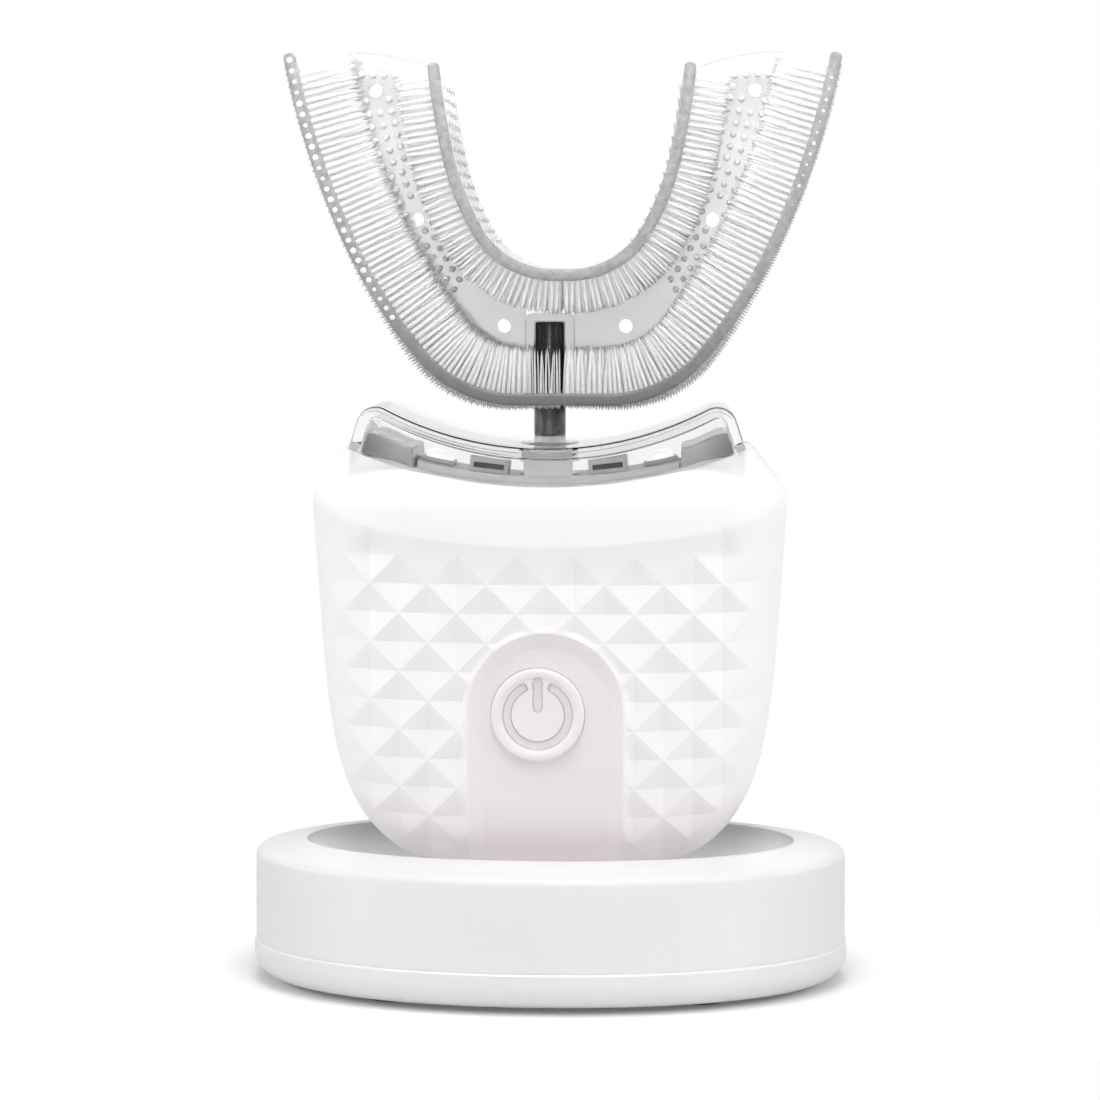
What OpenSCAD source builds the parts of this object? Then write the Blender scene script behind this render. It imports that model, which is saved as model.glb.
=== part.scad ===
// U-shaped automatic toothbrush standing in an oval inductive charging dock.
// Millimetres, +Z up, front towards -Y, origin at the centre of the underside of the dock's feet.

/* [Dock] */
// Width of the dock at its parting line
dock_w = 72; // [71.2:0.2:76]
// Depth of the dock from front to back
dock_d = 44.6; // [44:0.2:50]
// Squareness of the dock's oval plan (2 is an ellipse)
dock_squareness = 2.1; // [2:0.05:2.4]
// Height of the dock's outer rim above the table
dock_rim_h = 16.1; // [15.6:0.1:18]
// Rise of the top surface from the rim to the recess lip
dock_crown = 0.9; // [0.7:0.1:1.6]
// Draft of the outer wall, per side
dock_draft = 0.3; // [0.1:0.05:0.6]
// Round on the outer rim
rim_round = 0.5; // [0.3:0.05:0.8]
// Wall of the dock housing
dock_wall = 1.8; // [1.4:0.1:2.2]
// Height of the base tray, from its underside to the parting line
base_h = 4.5; // [4.2:0.1:4.8]
// Round on the base tray's lower edge
base_round = 3; // [2:0.1:3.4]
// Floor of the base tray
base_floor = 1.6; // [1.4:0.1:1.8]
// How far the feet stand out of the base
foot_h = 0.6; // [0.4:0.1:1]
// Diameter of a rubber foot
foot_d = 7.2; // [6:0.2:8]

/* [Recess] */
// Width of the recess at its lip
recess_w = 59; // [56.5:0.1:60]
// Depth of the recess opening from front to back
recess_d = 30; // [29.6:0.2:31]
// How deep the seat lies below the lip
recess_depth = 3.3; // [3:0.1:3.8]
// Width of the flat seat
seat_w = 26; // [24:0.5:30]
// Depth of the flat seat from front to back
seat_d = 16; // [14.5:0.5:17]

/* [Charging parts] */
// Clearance between the transmitter coil and the charging inlet, in plan
dock_coil_gap = 0.5; // [0.4:0.1:2.5]
// Thickness of the transmitter coil
dock_coil_h = 1.6; // [1.2:0.1:1.8]
// Thickness of both ferrite sheets
ferrite_h = 0.8; // [0.6:0.1:1]
// Height of the dock's circuit board above the base floor
dock_board_rise = 3.5; // [3:0.1:3.7]
// Thickness of the dock's circuit board
dock_pcb_h = 1; // [0.8:0.1:1.2]
// Width of the charging inlet
inlet_w = 8.9; // [8.6:0.1:9.2]
// Height of the charging inlet
inlet_h = 3.2; // [3:0.1:3.3]
// Length of the charging inlet
inlet_l = 7; // [6.4:0.1:7.2]
// Diameter of the receiver coil
coil_d = 13; // [11:0.5:13.4]
// Thickness of the receiver coil
coil_h = 1.4; // [1:0.1:1.6]

/* [Handset] */
// Widest width of the handset
body_w = 57.2; // [56:0.2:60]
// Thickness of the handset from front to back
body_d = 28; // [27.6:0.1:29]
// Height from the flat bottom to the shoulder
body_h = 45.6; // [45:0.2:50]
// Squareness of the handset's plan
body_squareness = 2.8; // [2.6:0.05:3.2]
// Share of the half width lost from the shoulder to the bottom
side_taper = 0.11; // [0.08:0.005:0.12]
// Share of the half thickness lost from the shoulder to the bottom
face_taper = 0.04; // [0.02:0.005:0.06]
// Wall of the handset shells
shell_wall = 1.8; // [1.6:0.05:2]
// Height of the smooth collar above the shoulder, at its corners
collar_h = 5.6; // [5.2:0.1:6]
// How far the collar leans in, per side
collar_in = 4.3; // [3.8:0.1:4.6]
// Radius of the collar's hollow top edge
collar_r = 65; // [60:1:72]
// Height of the middle of the collar's top edge above the shoulder
collar_mid_h = 1.2; // [1:0.1:1.8]
// Thickness of the sealing gasket between the shells
gasket_h = 0.6; // [0.4:0.1:0.8]

/* [Diamond pattern] */
// Diagonal of a diamond
diamond = 6.9; // [6.5:0.1:7.2]
// Depth of each pyramid-shaped pit
pit_depth = 0.6; // [0.2:0.05:0.7]
// How far the centre of a diamond lies below the shoulder
diamond_drop = 13.5; // [12.6:0.1:14.5]

/* [Control panel] */
// Width of the panel's flat inside its bevel
panel_w = 14.6; // [13.8:0.1:15.2]
// Width of the bevel round the panel
panel_bevel = 1.8; // [1.2:0.1:2]
// Depth of the panel below the front face
panel_depth = 0.9; // [0.6:0.05:1]
// Diameter of the power button
button_d = 11; // [10:0.1:11.4]
// Height of the button's centre above the seat
button_z = 20.2; // [19.6:0.1:21.4]
// How far the button's centre lies to the right of the panel's middle
button_x = -0.9; // [-1.2:0.1:1.2]
// How far the button stands out of the panel
button_out = 0.7; // [0.6:0.05:0.8]
// Travel of the button
button_travel = 0.6; // [0.4:0.05:0.6]
// Clearance round the button
button_gap = 0.2; // [0.15:0.05:0.3]

/* [Light cover] */
// Width of the clear cover where it meets the collar
cover_w = 46.6; // [45.6:0.1:47.6]
// Width of the clear cover at its top corners
cover_top_w = 42.6; // [41.4:0.1:43.4]
// Thickness of the clear cover from front to back
cover_d = 23.4; // [22.4:0.1:23.8]
// Radius of the cover's hollow top
cover_r = 41; // [38:0.5:46]
// Height of the cover in its middle
cover_mid_h = 4.5; // [4.4:0.1:5.5]
// Wall of the clear cover
cover_wall = 1.3; // [1:0.1:1.4]
// Round on the cover's top corners
cover_round = 2.4; // [1.8:0.1:3]
// Thickness of the deck below the cover
deck_h = 1.6; // [1.2:0.1:1.8]
// Thickness of the light board
led_board_h = 0.8; // [0.6:0.1:1]

/* [Drive] */
// Diameter of the steel drive shaft
shaft_d = 3.8; // [3.6:0.1:4.2]
// Diameter of the shaft's tip inside the mouthpiece
tip_d = 3.5; // [3.2:0.05:3.5]
// Length of the shaft's tip inside the mouthpiece
tip_l = 9.5; // [8.5:0.5:10]
// Bare shaft between the cover and the mouthpiece
neck_h = 5; // [4:0.1:6]
// Diameter of the motor can
motor_d = 12.6; // [12:0.1:12.6]
// Length of the motor can
motor_l = 24; // [22:0.5:24.5]
// Thickness of the motor's rubber rings
cushion_h = 1; // [0.8:0.1:1]
// Radial clearance of the shaft in its bearings and in the mouthpiece
shaft_gap = 0.05; // [0.03:0.01:0.08]

/* [Electronics] */
// Diameter of the battery
battery_d = 14; // [13:0.1:14]
// Clearance between the battery's end and the upper screw bosses
battery_gap = 1; // [0.8:0.1:3]
// Width of the main board
board_w = 30; // [28:0.5:31]
// Height of the main board
board_l = 27; // [26:0.5:28]
// Thickness of the main board
board_h = 0.8; // [0.6:0.1:1]
// Height of the tact switch above the board
switch_h = 1.2; // [1:0.1:1.4]
// Diameter of a shell screw
screw_d = 1.6; // [1.4:0.1:1.8]

/* [Mouthpiece] */
// Depth of the mouthpiece from front to back
mouth_d = 22; // [20:0.5:24]
// Width of the band between the outside and the inside of the U
mouth_band = 15.9; // [15.4:0.1:16.6]
// How far the middle of the U lies to the right of the shaft
mouth_shift = 1.8; // [0:0.1:2.4]
// Thickness of the silicone walls
mouth_wall = 1.4; // [1.2:0.1:1.6]
// Thickness of the bite plate
plate_h = 1.6; // [1.4:0.1:2]
// Half of the straight stretch across the outside
outer_flat = 5.4; // [5:0.1:6.2]
// Radius of the lower corners, outside
corner_r = 15; // [14.5:0.1:15.5]
// Radius of the arms' lower half, outside
arm_r = 60; // [56:1:64]
// Radius of the arms' upper half, outside
tip_r = 92; // [86:1:98]
// Half of the straight stretch across the inside
inner_flat = 1; // [0.6:0.1:1.4]
// Radius of the inside curve
inner_r = 9.5; // [9.2:0.1:9.8]
// Radius of the inside of the arms' lower half
inner_arm_r = 30; // [28:1:32]
// Radius of the inside of the arms' upper half
inner_tip_r = 100; // [90:1:110]
// Height of the crest of each arm's end
arm_crest = 1.1; // [0.8:0.1:1.4]
// Outer diameter of the socket that grips the shaft
socket_d = 6; // [5.8:0.1:6.4]
// Diameter of the through holes in the bite plate
plate_hole_d = 1.7; // [1.4:0.1:2]

/* [Bristles] */
// Length of the bristles on the outer wall
outer_bristle = 5.1; // [4.8:0.1:5.6]
// Length of the bristles on the inner wall
inner_bristle = 3.8; // [3.6:0.1:4.2]
// Distance between bristles along a row
bristle_pitch = 2.4; // [2:0.1:3]
// Thickness of a bristle at its root
bristle_root = 1.1; // [0.8:0.1:1.2]
// Thickness of a bristle at its tip
bristle_tip = 0.5; // [0.4:0.1:0.7]
// Rows of bristles on each side of the bite plate
bristle_rows = 4; // [3:1:4]
// Tallest nub on the outside of the mouthpiece
nub_h = 0.9; // [0.5:0.1:1.1]

/* [Hidden] */
$fn = 48;

// Small overshoot that makes a cut run past the face it opens
past = 1;
// Play between parts that are assembled and stay together
fit = 0.15;
// Play between bonded parts
bond = 0.02;

// Heights of the dock
base_z = foot_h;
parting_z = base_z + base_h;
lip_z = dock_rim_h + dock_crown;
seat_z = lip_z - recess_depth;
base_floor_z = base_z + base_floor;
// Visible seam between the base tray and the housing
seam = 0.15;
// Locating rim of the base tray inside the housing
rim_h = 1.6;
rim_t = 1.2;
// Places of the dock's screws, bosses, feet and board
dock_screw_x = dock_w / 2 - 8.6;
dock_screw_y = 7;
dock_screw_d = 2;
dock_head_d = 3.8;
dock_head_h = 0.9;
dock_boss_d = 5.2;
foot_x = 18;
foot_y = 11.5;
foot_sunk = 0.3;
dock_board_w = 30;
dock_board_front = 12;
dock_board_rear = 13.5;
dock_board_tongue = 12;
dock_board_z = base_floor_z + dock_board_rise;
dock_board_top = dock_board_z + dock_pcb_h;
// Parts on the dock's board: [left, front, width, depth, height]
dock_chip_list = [
    [-9, -6, 5, 5, 0.9], [2, -7, 6, 4, 1.1],
    for (i = [0 : 3]) [-6 + 3.5 * i, 3, 2, 1.2, 0.8]
];
inlet_inset = 0.5;
inlet_y = dock_d / 2 - dock_draft - inlet_inset;
inlet_wall = 0.35;
dock_ceiling = seat_z - dock_wall;
dock_coil_top = dock_ceiling - fit / 3;
dock_coil_d = 2 * (inlet_y - inlet_l - dock_coil_gap);
dock_coil_hole = 10;

// Heights and curves of the handset
bottom_cut = 0.6;
shoulder_z = seat_z + body_h;
corner_z = shoulder_z + collar_h;
collar_mid_z = shoulder_z + collar_mid_h;
side_power = 6;
face_power = 9;
bottom_root = 3;
inner_floor_z = seat_z + shell_wall;
above_collar = 2;
light_board_w = 31;
light_board_d = 11;
diffuser_d = 17;
// Columns of points from the middle of a face to the side
columns = 11;
lattice = diamond / 2;
lattice_z = shoulder_z - diamond_drop;
plain_low = 3;
plain_high = 2;
lattice_low = ceil((seat_z + plain_low - lattice_z) / lattice);
lattice_high = floor((shoulder_z - plain_high - lattice_z) / lattice);
pit_columns = 6;
pit_low = lattice_low + 1;
pit_high = lattice_high - 2;

// How far the gasket's edges lie inside the outer surface
gasket_out = 0.4;
gasket_in = shell_wall - 0.5;

// Control panel and button
button_z0 = seat_z + button_z;
panel_top_z = button_z0 + panel_w / 2 + 0.6;
panel_face = half_depth(button_z0, 0) - panel_depth;
button_face = panel_face + button_out;
flange_h = 0.6;
flange_over = 0.8;
flange_gap = 0.35;
flange_front = half_depth(button_z0, shell_wall) - flange_gap;
flange_back = flange_front - flange_h;
plunger_d = 3.4;
ring_outer_d = 8.1;
ring_inner_d = 6.3;
ring_gap_angle = 28;
bar_w = 1;
bar_l = 4.4;
mark_depth = 0.25;
dish_depth = 0.45;
button_rim = 1.1;

// Drive line
cover_top_z = collar_mid_z + cover_mid_h;
cover_rise = cover_r - sqrt(pow(cover_r, 2) - pow(cover_top_w / 2, 2));
cover_lean = atan2((cover_w - cover_top_w) / 2, cover_top_z + cover_rise - corner_z);
mouth_z = cover_top_z + neck_h;
shelf_h = 1.6;
shelf_rise = 14.4;
shelf_z = seat_z + shelf_rise;
motor_z = shelf_z + shelf_h + bond;
motor_top_z = motor_z + motor_l;
upper_ring_h = 2;
upper_ring_drop = 0.8;
upper_ring_z = motor_top_z - upper_ring_h - upper_ring_drop;
lower_ring_h = 2.4;
can_wall = 0.7;
rotor_d = 8.4;
rotor_gap = 0.4;
bearing_h = 2;
shoulder_below = 0.3;
tip_top_z = mouth_z + tip_l;
seal_d = 7;

// Battery, board and their carrier
cushion_r = motor_d / 2 + cushion_h;
carrier_wall = 1;
terminal_d = 5;
terminal_h = 1;
battery_x = cushion_r + carrier_wall + battery_d / 2;
board_back = cushion_r + 0.1;
board_front = board_back + board_h;
board_z = shelf_z - 1;
spine_y = cushion_r + 0.6;
spine_t = 1.4;
spine_w = 26;
// Parts on the main board: [left, height on the board, width, height, thickness]
board_chip_list = [
    [4 - board_w / 2, board_l - 11, 6, 6, 1], [5, board_l - 12, 5, 4, 0.9],
    for (i = [0 : 2]) [board_w / 2 - 6, 4 + 3 * i, 2, 1.2, 0.7],
    for (i = [0 : 1]) [3 - board_w / 2, 5 + 3 * i, 2, 1.2, 0.7]
];
coil_z = inner_floor_z + 0.8;
coil_post_d = 3.6;
coil_hole_d = 4;
lower_shelf_z = coil_z + coil_h + ferrite_h + 2 * bond;
// Screw bosses that join the shells: [x, height above the seat]
boss_d = 4.4;
boss_low = [body_w / 2 - 13.4, 9.9];
boss_high = [body_w / 2 - 6, body_h - 1.4];
battery_l = seat_z + boss_high[1] - boss_d / 2 - battery_gap - motor_z;
head_d = 3;
head_h = 1.2;
head_sunk = 1.4;

// Curves of the mouthpiece, from the middle of the U to the end of an arm
outer_radii = [corner_r, arm_r, tip_r];
outer_turns = [50, 15, 14.5];
inner_radii = [inner_r, inner_arm_r, inner_tip_r];
inner_turns = [60, 18, 6];
inner_z = mouth_z + mouth_band;
socket_top_z = tip_top_z + 1.1;
degrees_per_facet = 3;
facet_length = 2;
first_row = 1.6;
row_t = 0.8;
row_pitch = (mouth_d / 2 - first_row - row_t) / (bristle_rows - 0.5);
strip_h = 0.35;
base_length = 0.8;
nub_pitch = 2;
nub_w = 1.1;
nub_rows = 2;
// Through holes on each arm: [distance along the outer curve, distance in from it]
plate_holes = [[51.5, 8.8], [33.7, 8.3], [10, 8.75]];

white = [0.95, 0.95, 0.95];
pearl = [0.93, 0.9, 0.9];
dock_grey = [0.9, 0.905, 0.91];
clear_grey = [0.78, 0.8, 0.82, 0.5];
silicone = [0.85, 0.86, 0.87, 0.7];
steel = [0.35, 0.35, 0.36];
copper = [0.72, 0.45, 0.2];
board_green = [0.1, 0.35, 0.2];
black = [0.12, 0.12, 0.13];

// ---------------------------------------------------------------- shared shapes

function sgn_pow(v, p) = sign(v) * pow(abs(v), p);

// Oval ring of points: half width a, half depth b, squareness n, at height z
function oval(a, b, n, z, count) = [
    for (i = [0 : count - 1])
        let (t = 360 * i / count)
        [a * sgn_pow(cos(t), 2 / n), b * sgn_pow(sin(t), 2 / n), z]
];

// Two triangles of the cell between point i and the next one, on rings j and j + 1
function cell(i, j, count, turned) =
    let (
        a = j * count + i,
        b = j * count + (i + 1) % count,
        c = (j + 1) * count + (i + 1) % count,
        d = (j + 1) * count + i
    )
    turned ? [[a, d, b], [d, c, b]] : [[a, d, c], [a, c, b]];

function flat_list(lists) = [for (l = lists) each l];

// Solid between closed rings of equally many points, from the first ring to the last
module skin(rings, turned = function(i, j) false) {
    count = len(rings[0]);
    last = len(rings) - 1;
    sides = flat_list([
        for (j = [0 : last - 1])
            for (i = [0 : count - 1])
                cell(i, j, count, turned(i, j))
    ]);
    start_cap = [for (i = [0 : count - 1]) i];
    end_cap = [for (i = [count - 1 : -1 : 0]) last * count + i];
    polyhedron(points = flat_list(rings), faces = concat([start_cap], sides, [end_cap]));
}

// Solid of oval rings, each given as [half width, half depth, height]
module oval_stack(rings, squareness, count = 64) {
    skin([for (r = rings) oval(r[0], r[1], squareness, r[2], count)]);
}

// Extrudes a drawing in X and Z along Y, from y0 to y1
module slab(y0, y1) {
    translate([0, y1, 0])
        rotate([90, 0, 0])
            linear_extrude(y1 - y0)
                children();
}

// Cylinder along Y from y0 to y1
module y_rod(x, z, d, y0, y1) {
    translate([x, y1, z])
        rotate([90, 0, 0])
            cylinder(d = d, h = y1 - y0);
}

module tube(outer, inner, h) {
    difference() {
        cylinder(d = outer, h = h);
        translate([0, 0, -past])
            cylinder(d = inner, h = h + 2 * past);
    }
}

module both_sides() {
    children();
    mirror([1, 0, 0]) children();
}

// ---------------------------------------------------------------- handset surface

// Half width of the handset at height z, inside a wall of the given thickness
function half_width(z, inset) = reach(z, body_w / 2 - inset, inset, side_taper, side_power);

// Half thickness of the handset at height z, inside a wall of the given thickness
function half_depth(z, inset) = reach(z, body_d / 2 - inset, inset, face_taper, face_power);

function reach(z, half, inset, taper, power) =
    z > shoulder_z
        ? half - (taper == face_taper ? collar_in / 2 : collar_in) * (z - shoulder_z) / collar_h
        : let (t = (shoulder_z - z) / (body_h + bottom_cut - inset))
            half * (1 - taper * t) * pow(max(0, 1 - pow(t, power)), 1 / bottom_root);

// Distance of column k from the middle: on the lattice in the middle, closer at the sides
function column_x(k, w) =
    let (edge = min(pit_columns * lattice, 0.84 * w))
    k <= pit_columns
        ? edge * k / pit_columns
        : edge + (w - edge) * sin(90 * (k - pit_columns) / (columns - pit_columns));

function is_pit(k, row) =
    abs(k) <= pit_columns && abs(k + row) % 2 == 0 && row >= pit_low
        && row <= pit_high + (abs(k) == pit_columns ? 1 : 0);

function face_y(x, w, d) =
    d * pow(max(0, 1 - pow(abs(x) / w, body_squareness)), 1 / body_squareness);

// Ring of the handset at height z; row is its place on the diamond lattice
function body_ring(z, inset, row) =
    let (
        w = half_width(z, inset),
        d = half_depth(z, inset),
        point = function(k, side)
            let (
                x = sign(k) * column_x(abs(k), w),
                pit = row != undef && is_pit(k, row) ? pit_depth : 0
            )
            [x, side * (face_y(x, w, d) - pit), z]
    )
    concat(
        [for (k = [columns : -1 : -columns]) point(k, 1)],
        [for (k = [1 - columns : columns - 1]) point(k, -1)]
    );

// Column of point i on a ring
function ring_column(i) = i <= 2 * columns ? columns - i : i - 3 * columns;

// Outer surface with its diamonds
module patterned_body() {
    low = [
        for (h = [0, 0.35, 1.1, 2.4])
            [seat_z + h, undef]
    ];
    mid = [
        for (row = [lattice_low : lattice_high])
            [lattice_z + row * lattice, row]
    ];
    high = [[shoulder_z, undef], [corner_z + above_collar, undef]];
    rows = concat(low, mid, high);
    first = len(low);
    skin(
        [for (r = rows) body_ring(r[0], 0, r[1])],
        function(i, j)
            abs(ring_column(i) + lattice_low + j - first) % 2 == 0
    );
}

// Plain body inside a wall of the given thickness
module plain_body(inset) {
    z0 = seat_z + inset;
    shares = [0, 0.01, 0.03, 0.075, 0.15, 0.28, 0.46, 0.7, 1];
    rows = concat([for (s = shares) z0 + s * (shoulder_z - z0)], [corner_z + above_collar]);
    skin([for (z = rows) body_ring(z, inset, undef)]);
}

// Everything above the collar's hollow top edge
module above_arc(raise = 0) {
    y_rod(0, collar_mid_z + collar_r, 2 * (collar_r - raise), -body_d, body_d, $fn = 360);
}

module screw_places() {
    for (p = [boss_low, boss_high])
        for (s = [-1, 1])
            translate([s * p[0], 0, seat_z + p[1]])
                rotate([90, 0, 0])
                    children();
}

// One shell of the handset; side is -1 in front and 1 at the rear
module shell(side) {
    difference() {
        patterned_body();
        difference() {
            plain_body(shell_wall);
            screw_places()
                translate([0, 0, -body_d])
                    cylinder(d = boss_d, h = 2 * body_d);
        }
        above_arc();
        translate([-body_w, side > 0 ? -body_d : -gasket_h / 2, 0])
            cube([2 * body_w, body_d + gasket_h / 2, corner_z + 2 * above_collar]);
    }
}

// ---------------------------------------------------------------- dock

module dock_housing() {
    a = dock_w / 2;
    b = dock_d / 2;
    ra = recess_w / 2;
    rb = recess_d / 2;
    w = dock_wall;
    sa = seat_w / 2;
    sb = seat_d / 2;
    top_a = a - dock_draft;
    top_b = b - dock_draft;
    // Depth of the dished wall at a share of the way from the seat to the lip
    dish = function(share, drop)
        [
            sa + (ra - sa) * share + drop,
            sb + (rb - sb) * share + drop,
            seat_z + (recess_depth - 0.2) * (1 - sqrt(1 - pow(share, 2.4)))
        ];
    outside = [
        [a, b, parting_z],
        [top_a, top_b, dock_rim_h - rim_round],
        [top_a - 0.3 * rim_round, top_b - 0.3 * rim_round, dock_rim_h - 0.3 * rim_round],
        [top_a - rim_round, top_b - rim_round, dock_rim_h]
    ];
    land_a = top_a - rim_round - ra;
    land_b = top_b - rim_round - rb;
    land = [
        for (s = [0.33, 0.66, 0.93])
            [
                ra + land_a * (1 - s),
                rb + land_b * (1 - s),
                dock_rim_h + dock_crown * sin(90 * s)
            ]
    ];
    dished = [for (s = [1, 0.98, 0.93, 0.84, 0.7, 0.5, 0.25, 0]) dish(s, 0)];
    color(dock_grey)
        difference() {
            oval_stack(concat(outside, land, dished), dock_squareness);
            difference() {
                oval_stack(
                    [
                        [a - w, b - w, parting_z - past],
                        [a - w, b - w, parting_z],
                        [top_a - w, top_b - w, dock_rim_h - w - 0.3],
                        [ra + w, rb + w, dock_rim_h - w],
                        [ra + 0.9 * w, rb + 0.9 * w, lip_z - 1.6 * w],
                        for (s = [0.95, 0.8, 0.5, 0]) dish(s, w * 0.3) - [0, 0, w]
                    ],
                    dock_squareness
                );
                for (sx = [-1, 1])
                    for (sy = [-1, 1])
                        translate([sx * dock_screw_x, sy * dock_screw_y, base_floor_z + bond])
                            cylinder(d = dock_boss_d, h = lip_z);
            }
            for (sx = [-1, 1])
                for (sy = [-1, 1])
                    translate([sx * dock_screw_x, sy * dock_screw_y, 0])
                        cylinder(d = dock_screw_d, h = base_floor_z + 6);
            translate([0, inlet_y, dock_board_top + inlet_h / 2])
                inlet_outline(inlet_w + 2 * fit, inlet_h + 2 * fit, -4, 4);
        }
}

// Rounded outline of the inlet, from y0 to y1
module inlet_outline(w, h, y0, y1) {
    slab(y0, y1) {
        square([w - h, h], center = true);
        for (s = [-1, 1])
            translate([s * (w - h) / 2, 0])
                circle(d = h);
    }
}

module dock_base() {
    a = dock_w / 2;
    b = dock_d / 2;
    r = base_round;
    top = parting_z - seam;
    wall = dock_wall + fit;
    rounded = [
        for (t = [0 : 22.5 : 90])
            [a - r + r * sin(t), b - r + r * sin(t), base_z + r - r * cos(t)]
    ];
    color(dock_grey)
        difference() {
            union() {
                oval_stack(concat(rounded, [[a, b, top]]), dock_squareness);
                oval_stack(
                    [[a - wall, b - wall, top - past], [a - wall, b - wall, parting_z + rim_h]],
                    dock_squareness
                );
            }
            oval_stack(
                [
                    [a - wall - rim_t, b - wall - rim_t, base_floor_z],
                    [a - wall - rim_t, b - wall - rim_t, parting_z + rim_h + past]
                ],
                dock_squareness
            );
            for (sx = [-1, 1])
                for (sy = [-1, 1]) {
                    translate([sx * dock_screw_x, sy * dock_screw_y, 0]) {
                        cylinder(d = dock_screw_d + 2 * fit, h = parting_z + rim_h + past);
                        cylinder(d = dock_head_d + 2 * fit, h = base_z + dock_head_h + fit);
                        translate([0, 0, base_floor_z])
                            cylinder(d = dock_boss_d + 2 * fit, h = parting_z + rim_h);
                    }
                    translate([sx * foot_x, sy * foot_y, 0])
                        cylinder(d = foot_d, h = base_z + foot_sunk);
                }
            translate([0, inlet_y, dock_board_top + inlet_h / 2])
                inlet_outline(inlet_w + 6 * fit, inlet_h + 6 * fit, -8, 4);
        }
    // Posts that carry the circuit board
    color(dock_grey)
        for (sx = [-1, 1])
            for (sy = [-1, 1])
                translate([sx * (dock_board_w / 2 - 2.5), sy * (dock_board_front - 2.5), base_floor_z - 0.5])
                    cylinder(d = 3.2, h = dock_board_z - base_floor_z + 0.5);
}

module dock_feet() {
    color(black)
        for (sx = [-1, 1])
            for (sy = [-1, 1])
                translate([sx * foot_x, sy * foot_y, 0]) {
                    translate([0, 0, 0.2])
                        cylinder(d = foot_d, h = base_z + foot_sunk - 0.2);
                    cylinder(d1 = foot_d - 0.5, d2 = foot_d, h = 0.2);
                }
}

module dock_screws() {
    color(steel)
        for (sx = [-1, 1])
            for (sy = [-1, 1])
                translate([sx * dock_screw_x, sy * dock_screw_y, base_z])
                    difference() {
                        union() {
                            cylinder(d = dock_head_d, h = dock_head_h);
                            cylinder(d = dock_screw_d, h = base_floor + 5);
                        }
                        translate([-1.2, -0.25, -past])
                            cube([2.4, 0.5, past + 0.4]);
                        translate([-0.25, -1.2, -past])
                            cube([0.5, 2.4, past + 0.4]);
                    }
}

module dock_board() {
    color(board_green)
        difference() {
            union() {
                translate([-dock_board_w / 2, -dock_board_front, dock_board_z])
                    cube([dock_board_w, dock_board_front + dock_board_rear, dock_pcb_h]);
                translate([-dock_board_tongue / 2, 0, dock_board_z])
                    cube([dock_board_tongue, dock_d / 2 - dock_wall - rim_t - 3 * fit, dock_pcb_h]);
            }
            for (sx = [-1, 1])
                translate([sx * (dock_board_w / 2 - 2.5), dock_board_rear - 3, dock_board_z - past])
                    cylinder(d = 1.8, h = dock_pcb_h + 2 * past);
        }
}

module dock_chips() {
    color(black)
        for (c = dock_chip_list)
            translate([c[0], c[1], dock_board_top])
                cube([c[2], c[3], c[4]]);
}

module charging_inlet() {
    color(steel)
        translate([0, inlet_y, dock_board_top + inlet_h / 2]) {
            difference() {
                inlet_outline(inlet_w, inlet_h, -inlet_l, 0);
                inlet_outline(inlet_w - 2 * inlet_wall, inlet_h - 2 * inlet_wall, -inlet_l + 1, past);
            }
            translate([-inlet_w / 2 + 1.6, -inlet_l + 0.5, -0.35])
                cube([inlet_w - 3.2, inlet_l - 1.5, 0.7]);
        }
}

module dock_coil() {
    color(copper)
        translate([0, 0, dock_coil_top - dock_coil_h])
            tube(dock_coil_d, dock_coil_hole, dock_coil_h);
}

module dock_ferrite() {
    color(black)
        translate([0, 0, dock_coil_top - dock_coil_h - ferrite_h - bond])
            cylinder(d = dock_coil_d, h = ferrite_h);
}

// ---------------------------------------------------------------- handset shells

// Arch outline of the control panel, widened by w
module arch(w) {
    translate([0, panel_top_z - panel_w / 2])
        circle(r = panel_w / 2 + w, $fn = 64);
    translate([-panel_w / 2 - w, 0])
        square([panel_w + 2 * w, panel_top_z - panel_w / 2]);
}

// Space in front of the sunk panel, which follows the front face
module panel_cut() {
    steps = [for (i = [0 : 12]) seat_z - 0.5 + i * (panel_top_z + 3 - seat_z) / 12];
    floor_line = [
        for (z = steps)
            [half_depth(max(z, seat_z + 0.02), 0) - panel_depth, z]
    ];
    intersection() {
        hull() {
            slab(-body_d / 2 - 0.6, -body_d / 2 - 0.5)
                arch(panel_bevel);
            slab(-body_d / 2 + 0.4, -body_d / 2 + 0.5)
                arch(panel_bevel);
            slab(-panel_face - 0.05, -panel_face + 6)
                arch(0);
        }
        translate([body_w / 2, 0, 0])
            rotate([0, -90, 0])
                linear_extrude(body_w)
                    polygon(concat(
                        [for (p = floor_line) [p[1], -p[0]]],
                        [[panel_top_z + 3, -body_d], [seat_z - 0.5, -body_d]]
                    ));
    }
}

module front_shell() {
    color(pearl)
        difference() {
            shell(-1);
            panel_cut();
            y_rod(button_x, button_z0, button_d + 2 * button_gap, -body_d, 0);
            screw_places()
                cylinder(d = screw_d, h = 6);
        }
}

module rear_shell() {
    color(pearl)
        difference() {
            shell(1);
            screw_places()
                translate([0, 0, -body_d])
                    cylinder(d = screw_d + 2 * fit, h = body_d);
            for (p = [boss_low, boss_high])
                for (s = [-1, 1])
                    y_rod(s * p[0], seat_z + p[1], head_d + 2 * fit, boss_seat(p), body_d);
        }
}

// Place along Y of the seat under a shell screw's head
function boss_seat(p) =
    let (z = seat_z + p[1])
    face_y(p[0] + head_d / 2, half_width(z, 0), half_depth(z, 0)) - head_sunk - head_h;

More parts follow.
